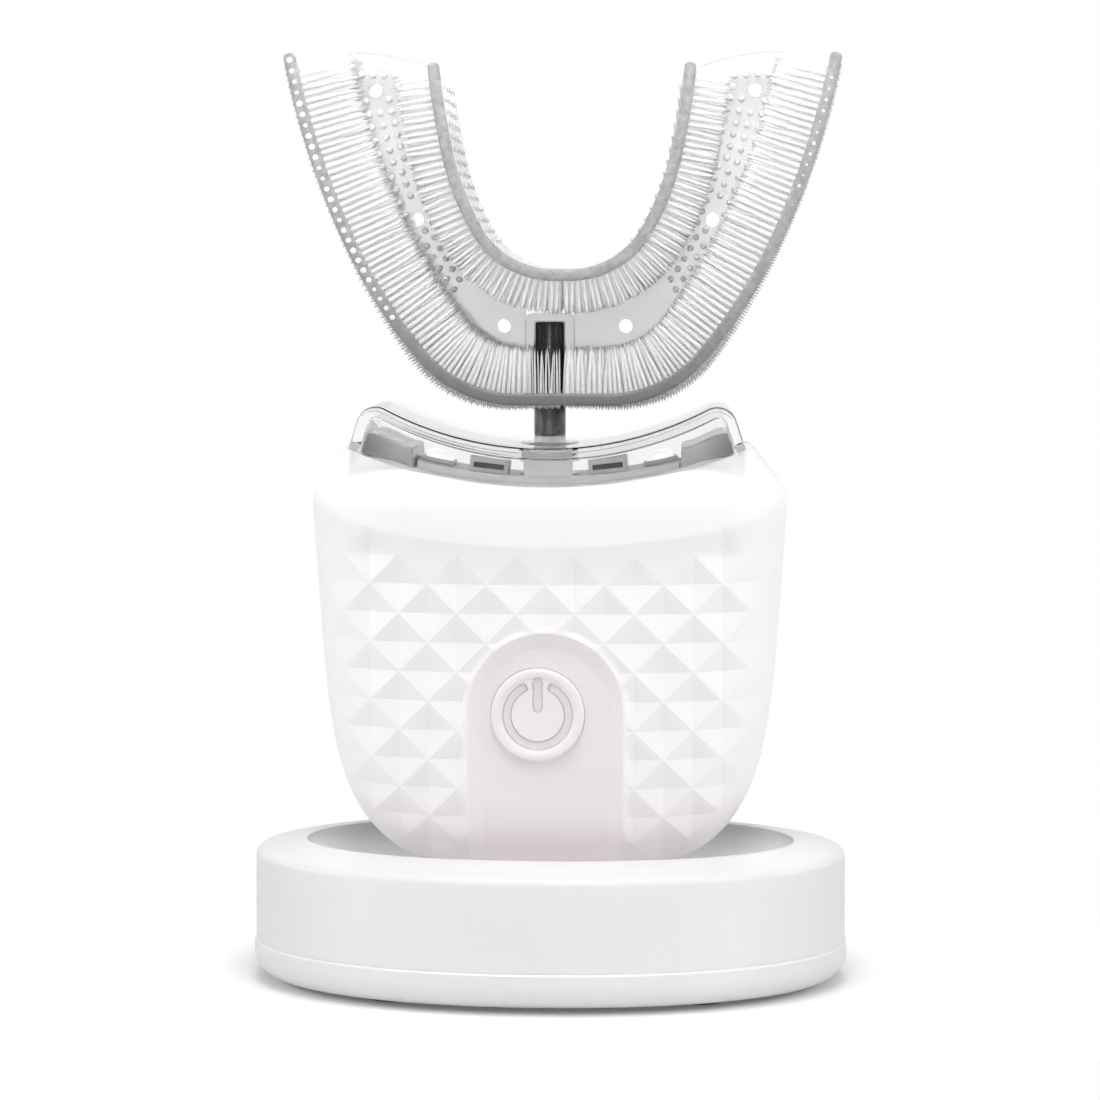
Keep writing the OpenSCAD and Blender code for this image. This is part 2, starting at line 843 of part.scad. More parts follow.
module shell_gasket() {
    heights = [for (i = [0 : 20]) seat_z + 0.5 + (collar_mid_z + 4 - seat_z) * i / 20];
    side = function(inset) [
        for (z = heights)
            [half_width(z, inset), z]
    ];
    outer = side(gasket_out);
    inner = [for (p = side(gasket_in)) [p[0], max(p[1], seat_z + gasket_in)]];
    color(white)
        difference() {
            slab(-gasket_h / 2, gasket_h / 2) {
                both_sides2d()
                    polygon(concat(
                        [[0, heights[0]]],
                        outer,
                        [for (i = [len(inner) - 1 : -1 : 0]) inner[i]],
                        [[0, seat_z + gasket_in]]
                    ));
            }
            above_arc();
        }
}

module both_sides2d() {
    children();
    mirror([1, 0]) children();
}

module shell_screws() {
    color(steel)
        for (p = [boss_low, boss_high])
            for (s = [-1, 1]) {
                seat = boss_seat(p);
                difference() {
                    union() {
                        y_rod(s * p[0], seat_z + p[1], head_d, seat, seat + head_h);
                        y_rod(s * p[0], seat_z + p[1], screw_d, -5, seat);
                    }
                    y_rod(s * p[0], seat_z + p[1], 1.3, seat + head_h - 0.6, seat + head_h + past);
                }
            }
}

// ---------------------------------------------------------------- light cover and deck

// Distance from a face's corner to where a line meets a circle round the origin
function first_hit(v, u, r) = -v * u - sqrt(pow(v * u, 2) - v * v + r * r);

// Cover as seen from the front, set in by the wall: foot, slanted end, round corner, hollow top
module cover_face(inset) {
    foot = [cover_w / 2, corner_z];
    up = [-sin(cover_lean), cos(cover_lean)];
    out = [cos(cover_lean), sin(cover_lean)];
    hollow = [0, cover_top_z + cover_r];
    start = foot - cover_round * out;
    corner = start + first_hit(start - hollow, up, cover_r + cover_round) * up;
    low = foot - inset * out - (collar_h + past) / cos(cover_lean) * up;
    to_hollow = hollow - corner;
    end_turn = atan2(to_hollow[1], to_hollow[0]);
    span = atan(corner[0] / to_hollow[1]);
    right = concat(
        [low],
        [
            for (i = [0 : 8])
                let (t = cover_lean + (end_turn - cover_lean) * i / 8)
                corner + (cover_round - inset) * [cos(t), sin(t)]
        ],
        [
            for (i = [1 : 16])
                let (t = span * (1 - i / 16))
                hollow + (cover_r + inset) * [sin(t), -cos(t)]
        ]
    );
    polygon(concat(right, [for (i = [len(right) - 2 : -1 : 0]) [-right[i][0], right[i][1]]]));
}

module cover_block(inset) {
    intersection() {
        slab(-cover_d / 2 + inset - past, cover_d / 2 - inset + past)
            cover_face(inset);
        linear_extrude(2 * corner_z)
            polygon([
                for (p = oval(body_w / 2 - inset, cover_d / 2 - inset, 4, 0, 80)) [p[0], p[1]]
            ]);
    }
}

module light_cover() {
    color(clear_grey)
        difference() {
            intersection() {
                cover_block(0);
                above_arc(bond);
            }
            cover_block(cover_wall);
            cylinder(d = seal_d, h = cover_top_z + past);
        }
}

module top_deck() {
    color(white)
        difference() {
            intersection() {
                plain_body(shell_wall + fit);
                above_arc(-deck_h);
            }
            above_arc();
            cylinder(d = seal_d, h = corner_z);
            screw_places()
                translate([0, 0, -body_d])
                    cylinder(d = boss_d + 2 * fit, h = 2 * body_d);
        }
}

module light_board() {
    color(board_green)
        difference() {
            intersection() {
                translate([-light_board_w / 2, -light_board_d / 2, collar_mid_z - past])
                    cube([light_board_w, light_board_d, collar_h]);
                above_arc(bond);
            }
            above_arc(led_board_h + bond);
            cylinder(d = seal_d + 2 * fit, h = corner_z);
        }
}

module light_modules() {
    color([0.8, 0.85, 0.95])
        for (angle = [-12, -6.4, 6.4, 12])
            translate([0, 0, collar_mid_z + collar_r])
                rotate([0, -angle, 0])
                    translate([-2, -2.5, -collar_r + led_board_h + 3 * bond])
                        cube([4, 5, 1]);
}

// Grey blocks at both ends below the clear cover
module light_diffusers() {
    x = cover_w / 2 - (cover_wall + fit) / cos(cover_lean);
    lean = tan(cover_lean);
    color([0.5, 0.52, 0.54])
        intersection() {
            above_arc(bond);
            both_sides()
                slab(-diffuser_d / 2, diffuser_d / 2)
                    polygon([
                        [x - 6, collar_mid_z],
                        [x + lean * (collar_h - collar_mid_h), collar_mid_z],
                        [x - lean * 1.8, corner_z + 1.8],
                        [x - 3, corner_z + 1.6],
                        [x - 4, corner_z + 0.6],
                        [x - 6, corner_z]
                    ]);
        }
}

module shaft_seals() {
    bore = shaft_d + 2 * shaft_gap;
    color(black) {
        translate([0, 0, cover_top_z - cover_wall - 0.6])
            tube(seal_d, bore, cover_wall + 0.8);
        translate([0, 0, collar_mid_z - deck_h - 0.6])
            tube(seal_d, bore, deck_h + led_board_h + 0.8);
    }
}

// ---------------------------------------------------------------- inside the handset

module chassis() {
    color([0.75, 0.76, 0.78])
        difference() {
            intersection() {
                plain_body(shell_wall + fit);
                union() {
                    translate([-body_w / 2, -body_d / 2, lower_shelf_z])
                        cube([body_w, body_d, shelf_h]);
                    translate([-body_w / 2, -board_back + bond, shelf_z])
                        cube([body_w, body_d, shelf_h]);
                    translate([-body_w / 2, -board_back + bond, upper_ring_z])
                        cube([body_w, body_d, upper_ring_h]);
                    translate([-spine_w / 2, spine_y, lower_shelf_z])
                        cube([spine_w, spine_t, upper_ring_z + upper_ring_h - lower_shelf_z]);
                    cylinder(d = coil_post_d, h = lower_shelf_z + shelf_h);
                    cylinder(d = coil_d - 1, h = coil_z);
                }
            }
            translate([0, 0, shelf_z + shelf_h])
                cylinder(d = 2 * cushion_r, h = body_h);
            translate([battery_x, 0, shelf_z + shelf_h])
                cylinder(d = battery_d + 2 * bond, h = body_h);
            screw_places()
                translate([0, 0, -body_d])
                    cylinder(d = boss_d + 2 * fit, h = 2 * body_d);
        }
}

module battery() {
    color([0.25, 0.45, 0.7])
        translate([battery_x, 0, motor_z]) {
            cylinder(d = battery_d, h = battery_l - terminal_h);
            cylinder(d = terminal_d, h = battery_l);
        }
}

module main_board() {
    color(board_green)
        difference() {
            translate([-board_w / 2, -board_front, board_z])
                cube([board_w, board_h, board_l]);
            for (s = [-1, 1])
                y_rod(s * (board_w / 2 - 2), board_z + board_l - 2, 1.8, -body_d, 0);
        }
}

module board_chips() {
    color(black)
        for (c = board_chip_list)
            translate([c[0], -board_front - c[4], board_z + c[1]])
                cube([c[2], c[4], c[3]]);
}

module tact_switch() {
    color(steel) {
        translate([button_x - 3, -board_front - switch_h, button_z0 - 3])
            cube([6, switch_h, 6]);
        y_rod(button_x, button_z0, 2.4, -board_front - switch_h - 0.4, -board_front - switch_h);
    }
}

module receiver_coil() {
    color(copper)
        translate([0, 0, coil_z])
            tube(coil_d, coil_hole_d, coil_h);
}

module receiver_ferrite() {
    color(black)
        translate([0, 0, coil_z + coil_h + bond])
            tube(coil_d, coil_hole_d, ferrite_h);
}

module motor_can() {
    bore = shaft_d + 2 * shaft_gap;
    color([0.7, 0.7, 0.72])
        translate([0, 0, motor_z])
            difference() {
                cylinder(d = motor_d, h = motor_l);
                translate([0, 0, can_wall])
                    cylinder(d = motor_d - 2 * can_wall, h = motor_l - 2 * can_wall);
                translate([0, 0, motor_l / 2])
                    cylinder(d = bore, h = motor_l);
            }
}

module motor_stator() {
    color(copper)
        translate([0, 0, motor_z + can_wall + bearing_h + 1])
            tube(
                motor_d - 2 * can_wall,
                rotor_d + 2 * rotor_gap,
                motor_l - 2 * can_wall - 2 * bearing_h - 2
            );
}

module motor_bearings() {
    color([0.8, 0.65, 0.35])
        for (z = [motor_z + can_wall, motor_top_z - can_wall - bearing_h])
            translate([0, 0, z])
                tube(motor_d - 2 * can_wall, shaft_d + 2 * shaft_gap, bearing_h);
}

module motor_cushions() {
    color(black) {
        translate([0, 0, motor_z])
            tube(2 * cushion_r, motor_d, lower_ring_h);
        translate([0, 0, upper_ring_z - 0.5])
            tube(2 * cushion_r, motor_d, upper_ring_h + 1);
    }
}

// ---------------------------------------------------------------- power button

module power_button() {
    r = button_d / 2;
    bowl = r - button_rim;
    color(pearl)
        translate([button_x, -button_face, button_z0])
            rotate([-90, 0, 0])
                difference() {
                    rotate_extrude($fn = 72)
                        polygon([
                            [0, dish_depth],
                            [bowl - 0.4, dish_depth],
                            [bowl, 0.1],
                            [bowl + 0.3, 0],
                            [r - 0.3, 0],
                            [r, 0.3],
                            [r, button_face - flange_front],
                            [r + flange_over, button_face - flange_front],
                            [r + flange_over, button_face - flange_back],
                            [plunger_d / 2, button_face - flange_back],
                            [plunger_d / 2, button_face - plunger_end()],
                            [0, button_face - plunger_end()]
                        ]);
                    power_mark();
                }
}

// Place along Y, from the middle, of the plunger's end
function plunger_end() = board_front + switch_h + 0.4 + button_travel + 0.1;

// Sunk open ring with a bar, the usual mark for on and off
module power_mark() {
    translate([0, 0, -past]) {
        difference() {
            tube(ring_outer_d, ring_inner_d, past + dish_depth + mark_depth);
            linear_extrude(2 * past + dish_depth + mark_depth)
                polygon([
                    [0, 0],
                    [-6 * sin(ring_gap_angle), -6 * cos(ring_gap_angle)],
                    [6 * sin(ring_gap_angle), -6 * cos(ring_gap_angle)]
                ]);
        }
        translate([-bar_w / 2, -bar_l, 0])
            cube([bar_w, bar_l, past + dish_depth + mark_depth]);
    }
}

// ---------------------------------------------------------------- drive

module drive_shaft() {
    low = motor_z + can_wall + bond;
    color(steel) {
        translate([0, 0, low])
            cylinder(d = shaft_d, h = mouth_z - shoulder_below - low);
        translate([0, 0, mouth_z - shoulder_below - past])
            cylinder(d = tip_d, h = tip_l + shoulder_below + past);
    }
}

module motor_rotor() {
    color([0.55, 0.56, 0.6])
        translate([0, 0, motor_z + can_wall + bearing_h + 1.6])
            tube(rotor_d, shaft_d, motor_l - 2 * can_wall - 2 * bearing_h - 3.2);
}

// ---------------------------------------------------------------- mouthpiece

// Direction of a curve before its arc k begins
function heading(turns, k) = k == 0 ? 0 : heading(turns, k - 1) + turns[k - 1];

function along(a) = [cos(a), sin(a)];
function inward(a) = [-sin(a), cos(a)];

// Centre of arc k of a curve that starts flat at height z0
function arc_centre(flat, radii, turns, z0, k) =
    k == 0
        ? [flat, z0 + radii[0]]
        : arc_centre(flat, radii, turns, z0, k - 1)
            + (radii[k] - radii[k - 1]) * inward(heading(turns, k));

// Right half of a curve, moved inward by d
function half_curve(flat, radii, turns, z0, d) = concat(
    [[0, z0 + d], [flat, z0 + d]],
    flat_list([
        for (k = [0 : len(radii) - 1])
            let (
                c = arc_centre(flat, radii, turns, z0, k),
                a0 = heading(turns, k),
                run = radii[k] * turns[k] * PI / 180,
                steps = ceil(max(turns[k] / degrees_per_facet, run / facet_length))
            )
            [
                for (i = [1 : steps])
                    c - (radii[k] - d) * inward(a0 + turns[k] * i / steps)
            ]
    ])
);

function outer_half(d) = half_curve(outer_flat, outer_radii, outer_turns, mouth_z, d);
function inner_half(d) = half_curve(inner_flat, inner_radii, inner_turns, inner_z, d);

function mirrored(points) = [for (i = [len(points) - 1 : -1 : 1]) [-points[i][0], points[i][1]]];
function whole(points) = concat(mirrored(points), points);
function backwards(points) = [for (i = [len(points) - 1 : -1 : 0]) points[i]];

// Point at distance s along a curve, moved inward by d, with its direction
function station(flat, radii, turns, z0, d, s, k = -1) =
    k < 0
        ? (s <= flat ? [s, z0 + d, 0] : station(flat, radii, turns, z0, d, s - flat, 0))
        : let (run = radii[k] * turns[k] * PI / 180)
            s > run && k < len(radii) - 1
                ? station(flat, radii, turns, z0, d, s - run, k + 1)
                : let (
                    a = heading(turns, k) + s / radii[k] * 180 / PI,
                    p = arc_centre(flat, radii, turns, z0, k) - (radii[k] - d) * inward(a)
                )
                [p[0], p[1], a];

function on_outer(s, d) = station(outer_flat, outer_radii, outer_turns, mouth_z, d, s);
function on_inner(s, d) = station(inner_flat, inner_radii, inner_turns, inner_z, d, s);
function length_of(flat, radii, turns) =
    flat + PI / 180 * (radii * turns);

outer_len = length_of(outer_flat, outer_radii, outer_turns);
inner_len = length_of(inner_flat, inner_radii, inner_turns);

// Line across the end of an arm, from the outer wall to the inner wall
function arm_end() =
    let (
        a = outer_half(mouth_wall),
        b = inner_half(-mouth_wall),
        p = a[len(a) - 1],
        q = b[len(b) - 1]
    )
    [
        for (i = [1 : 7])
            let (s = i / 8)
            p + (q - p) * s + [0, arm_crest * 4 * s * (1 - s)]
    ];

module outer_wall() {
    color(silicone)
        difference() {
            translate([mouth_shift, 0, 0])
                slab(-mouth_d / 2, mouth_d / 2)
                    polygon(concat(whole(outer_half(0)), backwards(whole(outer_half(mouth_wall)))));
            translate([0, 0, mouth_z - past])
                cylinder(d = tip_d + 4 * shaft_gap, h = mouth_wall + 2 * past);
        }
}

module inner_wall() {
    color(silicone)
        translate([mouth_shift, 0, 0])
            slab(-mouth_d / 2, mouth_d / 2)
                polygon(concat(whole(inner_half(-mouth_wall)), backwards(whole(inner_half(0)))));
}

module bite_plate() {
    end = arm_end();
    left_end = [for (i = [len(end) - 1 : -1 : 0]) [-end[i][0], end[i][1]]];
    color(silicone)
        difference() {
            translate([mouth_shift, 0, 0])
                slab(-plate_h / 2, plate_h / 2)
                    polygon(concat(
                        whole(outer_half(mouth_wall)),
                        end,
                        backwards(whole(inner_half(-mouth_wall))),
                        left_end
                    ));
            translate([0, 0, mouth_z])
                cylinder(d = socket_d, h = socket_top_z - mouth_z);
            for (h = plate_holes)
                for (s = [-1, 1]) {
                    p = on_outer(h[0], h[1]);
                    y_rod(mouth_shift + s * p[0], p[1], plate_hole_d, -mouth_d, mouth_d);
                }
        }
}

module shaft_socket() {
    color([0.6, 0.61, 0.62])
        translate([0, 0, mouth_z + mouth_wall])
            difference() {
                cylinder(d = socket_d, h = socket_top_z - mouth_z - mouth_wall);
                translate([0, 0, -past])
                    cylinder(d = tip_d + 2 * shaft_gap, h = tip_top_z - mouth_z - mouth_wall + past + fit);
            }
}

// Outline of a row of teeth on the right half of a curve; place(s, d) is a point of the curve
function comb(place, first, last, side, length_at, pitch, root, tip, strip) =
    let (
        count = max(1, floor((last - first - root) / pitch)),
        step = (last - first - root) / count,
        centres = [for (i = [0 : count]) first + root / 2 + i * step],
        flat2 = function(p) [p[0], p[1]],
        teeth = flat_list([
            for (s = centres)
                let (
                    end = place(s, side * (bond + length_at(s))),
                    t = along(end[2]) * tip / 2
                )
                [
                    flat2(place(s - root / 2, side * (bond + strip))),
                    flat2(end) - t,
                    flat2(end) + t,
                    flat2(place(s + root / 2, side * (bond + strip)))
                ]
        ]),
        base_steps = ceil((last - first) / base_length),
        base = [
            for (i = [base_steps : -1 : 0])
                flat2(place(first + (last - first) * i / base_steps, side * bond))
        ]
    )
    concat(teeth, base);

function row_y(k) = plate_h / 2 + first_row + k * row_pitch;

// Rows of teeth on both sides of the bite plate and on both halves of the U
module comb_rows(place, last, side, length) {
    for (k = [0 : bristle_rows - 1]) {
        y = row_y(k);
        first = y - row_t < socket_d / 2 + 0.4 ? socket_d / 2 + 0.6 + mouth_shift : 0.3;
        for (s = [-1, 1])
            translate([mouth_shift, s * y, 0])
                both_sides()
                    slab(-row_t / 2, row_t / 2)
                        polygon(comb(
                            place, first, last, side, function(at) length,
                            bristle_pitch, bristle_root, bristle_tip, strip_h
                        ));
    }
}

module outer_bristles() {
    color(silicone)
        comb_rows(
            function(s, d) on_outer(s, mouth_wall + d),
            outer_len - 0.4, 1, outer_bristle
        );
}

module inner_bristles() {
    color(silicone)
        comb_rows(
            function(s, d) on_inner(s, -mouth_wall + d),
            inner_len - 0.4, -1, inner_bristle
        );
}

// Nubs are tallest on the lower corners of the U
function nub_height(s) =
    0.35 + (nub_h - 0.35) * exp(-pow((s - outer_flat - corner_r * 0.6) / 12, 2));

module outer_nubs() {
    color(silicone)
        for (k = [-nub_rows : nub_rows])
            translate([mouth_shift, k * (mouth_d / 2 - 1.6) / nub_rows, 0])
                both_sides()
                    slab(-row_t / 2, row_t / 2)
                        polygon(comb(
                            function(s, d) on_outer(s, d),
                            k == 0 ? shaft_d / 2 + 0.7 + mouth_shift : 0.3, outer_len - 1, -1,
                            function(at) nub_height(at),
                            nub_pitch, nub_w, 0.4, 0.12
                        ));
}

// ---------------------------------------------------------------- what is drawn

dock_housing();
dock_base();
dock_feet();
dock_screws();
dock_board();
dock_chips();
charging_inlet();
dock_coil();
dock_ferrite();
front_shell();
rear_shell();
shell_gasket();
shell_screws();
light_cover();
top_deck();
light_board();
light_modules();
light_diffusers();
shaft_seals();
chassis();
battery();
main_board();
board_chips();
tact_switch();
receiver_coil();
receiver_ferrite();
motor_can();
motor_stator();
motor_bearings();
motor_cushions();
power_button();
drive_shaft();
motor_rotor();
bite_plate();
outer_wall();
inner_wall();
shaft_socket();
outer_bristles();
inner_bristles();
outer_nubs();
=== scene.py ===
"""Automatic toothbrush with a U-shaped silicone mouthpiece, standing in its oval charging dock.

Sizes are in millimetres until a mesh is made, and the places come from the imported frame.
"""

import math

import bmesh
import bpy
import numpy as np
from mathutils import Matrix, Vector


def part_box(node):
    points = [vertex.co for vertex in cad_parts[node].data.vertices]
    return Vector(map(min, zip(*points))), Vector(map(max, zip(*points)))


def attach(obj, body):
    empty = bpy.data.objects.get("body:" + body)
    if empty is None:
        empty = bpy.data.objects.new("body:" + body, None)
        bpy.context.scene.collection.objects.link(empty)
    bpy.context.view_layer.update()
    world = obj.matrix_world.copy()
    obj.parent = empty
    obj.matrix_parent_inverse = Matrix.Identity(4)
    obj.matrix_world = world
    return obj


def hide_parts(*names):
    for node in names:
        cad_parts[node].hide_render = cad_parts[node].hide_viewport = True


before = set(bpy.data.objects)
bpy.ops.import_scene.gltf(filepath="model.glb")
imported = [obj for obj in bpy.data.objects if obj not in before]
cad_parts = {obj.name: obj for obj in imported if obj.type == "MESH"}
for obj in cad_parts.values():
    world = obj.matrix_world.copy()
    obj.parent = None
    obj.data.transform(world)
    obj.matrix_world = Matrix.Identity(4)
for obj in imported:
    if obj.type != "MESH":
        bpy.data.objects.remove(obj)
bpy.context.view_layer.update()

MM = 0.001
RNG = np.random.default_rng(7)


def box(node):
    """Lowest and highest corner of a CAD node, in millimetres."""
    low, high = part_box(node)
    return np.array(low) / MM, np.array(high) / MM


# ---------------------------------------------------------------- mesh helpers


def mesh_object(name, points, faces, sharp=32):
    """A new object from points in millimetres, smooth but for the edges sharper than an angle."""
    mesh = bpy.data.meshes.new(name)
    mesh.from_pydata((np.asarray(points, float) * MM).tolist(), [], [list(map(int, f)) for f in faces])
    mesh.update()
    thing = bpy.data.objects.new(name, mesh)
    bpy.context.scene.collection.objects.link(thing)
    shade(thing, sharp)
    return thing


def shade(thing, sharp=32):
    mesh = thing.data
    mesh.polygons.foreach_set("use_smooth", [True] * len(mesh.polygons))
    mesh.set_sharp_from_angle(angle=math.radians(sharp))


def edit_mesh(thing, work):
    """Runs a function on the mesh of a piece while it can be edited."""
    bm = bmesh.new()
    bm.from_mesh(thing.data)
    work(bm)
    bm.to_mesh(thing.data)
    bm.free()


def solid(name, points, faces, sharp=32, gap=0.004):
    """Closed piece: points that coincide are joined and all faces turned outward."""

    def work(bm):
        bmesh.ops.remove_doubles(bm, verts=bm.verts, dist=gap * MM)
        bmesh.ops.dissolve_degenerate(bm, edges=bm.edges, dist=gap * 0.1 * MM)
        bmesh.ops.recalc_face_normals(bm, faces=bm.faces)

    thing = mesh_object(name, points, faces, sharp)
    edit_mesh(thing, work)
    shade(thing, sharp)
    return thing


def both_sides(half):
    """Values from 0 up, with their negatives before them."""
    return np.concatenate([-half[:0:-1], half])


def grid_faces(rows, columns, start=0, wrap=False):
    """Quads of a grid of rows and columns of points, closed along its columns if wrap."""
    last = columns if wrap else columns - 1
    return [
        (
            start + j * columns + i,
            start + j * columns + (i + 1) % columns,
            start + (j + 1) * columns + (i + 1) % columns,
            start + (j + 1) * columns + i,
        )
        for j in range(rows - 1)
        for i in range(last)
    ]


def loft(name, rings, sharp=32):
    """Closed solid through rings of equally many points, with a fan at both ends."""
    rings = np.asarray(rings, float)
    count = rings.shape[1]
    points = rings.reshape(-1, 3)
    faces = grid_faces(len(rings), count, wrap=True)
    top = len(points) - count
    ends = np.array([rings[0].mean(0), rings[-1].mean(0)])
    a, b = len(points), len(points) + 1
    faces += [(i, a, (i + 1) % count) for i in range(count)]
    faces += [(top + i, top + (i + 1) % count, b) for i in range(count)]
    return solid(name, np.vstack([points, ends]), faces, sharp)


def lathe(name, profile, base_z=0.0, count=96):
    """Turned solid round the z axis; profile is (radius, height) pairs above base_z."""
    turn = np.linspace(0, 2 * math.pi, count, endpoint=False)
    x, y = np.cos(turn), np.sin(turn)
    rings = [np.stack([r * x, r * y, np.full(count, h + base_z)], 1) for r, h in profile]
    return loft(name, rings)


def oval(a, b, square, z, count=176):
    """Ring of a superellipse."""
    t = np.linspace(0, 2 * math.pi, count, endpoint=False)
    c, s = np.cos(t), np.sin(t)
    p = 2 / square
    return np.stack(
        [a * np.sign(c) * np.abs(c) ** p, b * np.sign(s) * np.abs(s) ** p, np.full(count, z)], 1
    )


def rod(radius, start, end, count=48):
    """Cylinder between two points, used as a cutter."""
    start, end = np.array(start, float), np.array(end, float)
    axis = (end - start) / np.linalg.norm(end - start)
    side = np.cross(axis, [0, 0, 1] if abs(axis[2]) < 0.9 else [1, 0, 0])
    side /= np.linalg.norm(side)
    other = np.cross(axis, side)
    t = np.linspace(0, 2 * math.pi, count, endpoint=False)[:, None]
    ring = radius * (np.cos(t) * side + np.sin(t) * other)
    return loft("cutter", [ring + start, ring + end])


def remove(things):
    for thing in things:
        data = thing.data
        bpy.data.objects.remove(thing)
        bpy.data.meshes.remove(data)


def combine(thing, others, operation="DIFFERENCE", sharp=32):
    """Boolean of a piece with cutters, which are then removed."""
    for other in others:
        step = thing.modifiers.new("cut", "BOOLEAN")
        step.operation = operation
        step.solver = "EXACT"
        step.object = other
    bpy.context.view_layer.update()
    graph = bpy.context.evaluated_depsgraph_get()
    made = bpy.data.meshes.new_from_object(thing.evaluated_get(graph))
    thing.modifiers.clear()
    old = thing.data
    thing.data = made
    made.name = old.name
    bpy.data.meshes.remove(old)
    remove(others)
    shade(thing, sharp)


def dress(thing, body, slot, *nodes):
    """Puts a piece on its body and hides the CAD nodes it stands for."""
    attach(thing, body)
    if nodes:
        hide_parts(*nodes)


def place(thing, body, slot, material, *nodes):
    """Gives a piece its material and dresses it."""
    thing.data.materials.clear()
    thing.data.materials.append(material)
    dress(thing, body, slot, *nodes)


def face_centres(thing):
    return np.array([p.center for p in thing.data.polygons]) / MM


def paint_faces(thing, numbers, *materials):
    """Adds materials and gives each face the one with its number; 0 is the first."""
    for material in materials:
        thing.data.materials.append(material)
    thing.data.polygons.foreach_set("material_index", np.asarray(numbers, int).tolist())


def smooth_step(v):
    v = np.clip(v, 0, 1)
    return v * v * (3 - 2 * v)


# ---------------------------------------------------------------- materials


def node_of(tree, kind, **values):
    made = tree.nodes.new("ShaderNode" + kind)
    for key, value in values.items():
        setattr(made, key, value)
    return made


def wired(tree, kind, *sources, output=0, **values):
    """Output of a new node whose first inputs take the sockets or values given."""
    made = node_of(tree, kind, **values)
    for socket, source in zip(made.inputs, sources):
        if isinstance(source, bpy.types.NodeSocket):
            tree.links.new(source, socket)
        else:
            socket.default_value = source
    return made.outputs[output]


def scaled(tree, coords, scale):
    return wired(tree, "Mapping", coords, (0, 0, 0), (0, 0, 0), scale)


def noise_into(tree, coords, scale, stretch=None):
    noise = node_of(tree, "TexNoise")
    noise.inputs["Scale"].default_value = scale
    noise.inputs["Detail"].default_value = 3.0
    noise.inputs["Roughness"].default_value = 0.55
    tree.links.new(scaled(tree, coords, stretch) if stretch else coords, noise.inputs["Vector"])
    return noise.outputs["Fac"]


def ranged(tree, value, low, high, start=0.3, end=0.7, **values):
    """Value carried from the range start to end into the range low to high, and held there."""
    return wired(tree, "MapRange", value, start, end, low, high, **values)


def mixed(tree, factor, a, b):
    """Colour between a and b; each is a colour or a socket."""
    mix = node_of(tree, "Mix", data_type="RGBA")
    tree.links.new(factor, mix.inputs["Factor"])
    for socket, value in ((mix.inputs[6], a), (mix.inputs[7], b)):
        if isinstance(value, bpy.types.NodeSocket):
            tree.links.new(value, socket)
        else:
            socket.default_value = (*value, 1)
    return mix.outputs[2]


def finish_of(
    name, color, rough, spread=0.03, cloud=120, grain=3500, bump=0.05, rough_spread=0.06,
    tint=None, stretch=None, **sockets,
):
    """Principled material with drifting colour, uneven gloss and a fine moulded grain.

    tint is a function of (tree, coords, colour socket) that returns a new colour socket.
    """
    made = bpy.data.materials.new(name)
    made.use_nodes = True
    tree = made.node_tree
    shader = tree.nodes["Principled BSDF"]
    coords = node_of(tree, "TexCoord").outputs["Object"]
    drift = ranged(tree, noise_into(tree, coords, cloud, stretch), 0, 1)
    dark = [c * (1 - spread) for c in color]
    light = [min(1, c * (1 + spread)) for c in color]
    paint = mixed(tree, drift, dark, light)
    if tint:
        paint = tint(tree, coords, paint)
    tree.links.new(paint, shader.inputs["Base Color"])
    uneven = noise_into(tree, coords, cloud * 4, stretch)
    gloss = ranged(tree, uneven, rough - rough_spread, rough + rough_spread)
    tree.links.new(gloss, shader.inputs["Roughness"])
    if bump:
        rise = node_of(tree, "Bump")
        rise.inputs["Strength"].default_value = bump
        rise.inputs["Distance"].default_value = 0.0001
        tree.links.new(noise_into(tree, coords, grain, stretch), rise.inputs["Height"])
        tree.links.new(rise.outputs["Normal"], shader.inputs["Normal"])
    for key, value in sockets.items():
        shader.inputs[key.replace("_", " ")].default_value = value
    return made


def height(tree, coords):
    return wired(tree, "SeparateXYZ", coords, output=2)


def sideways(tree, coords):
    return wired(tree, "Math", wired(tree, "SeparateXYZ", coords), operation="ABSOLUTE")


def from_axis(centre_z):
    """Measure of the distance from a level axis that runs along Y."""

    def measure(tree, coords):
        away = wired(tree, "VectorMath", coords, (0, 0, centre_z * MM), operation="SUBTRACT")
        flat = wired(tree, "VectorMath", away, (1, 0, 1), operation="MULTIPLY")
        return wired(tree, "VectorMath", flat, operation="LENGTH", output=1)

    return measure


def fade(measure, start, end, color, amount=1.0):
    """Tint that grows from nothing where a measure is start to its full amount where it is end."""

    def tint(tree, coords, paint):
        share = ranged(tree, measure(tree, coords), 0, amount, start * MM, end * MM)
        return mixed(tree, share, paint, color)

    return tint


def both(first, second):
    """Tint that applies two tints one after the other."""
    return lambda tree, coords, paint: second(tree, coords, first(tree, coords, paint))


# Painted shade: the dock's colour darkens toward its two ends and over the top of its rim.
DOCK_WHITE = finish_of(
    "dock_shell_plastic", (0.80, 0.805, 0.82), 0.40, 0.012, 60, 5200, 0.05,
    tint=both(fade(sideways, 22, 36.5, (0.69, 0.695, 0.71)), fade(height, 15.4, 16.1, (0.70, 0.705, 0.72))),
    Specular_IOR_Level=0.3,
)
# Painted shade: the handset's colour turns rosier and a little darker toward the bottom, near the dock.
SHELL_PINK = finish_of(
    "handset_pearl_plastic", (0.895, 0.875, 0.869), 0.38, 0.010, 70, 5200, 0.05,
    tint=fade(height, 27, 16, (0.93, 0.855, 0.86), 0.6), Sheen_Weight=0.35, Sheen_Roughness=0.4,
)
# Painted light: the panel's colour turns much lighter and rosier toward the bottom, to offset the shade near
# the dock.
PANEL_PINK = finish_of(
    "handset_panel_plastic", (0.845, 0.80, 0.795), 0.38, 0.010, 70, 5200, 0.05,
    tint=fade(height, 27, 16, (0.98, 0.885, 0.89), 0.85),
)
BUTTON_PINK = finish_of("button_satin_plastic", (0.84, 0.81, 0.805), 0.42, 0.012, 200, 5200, 0.04)
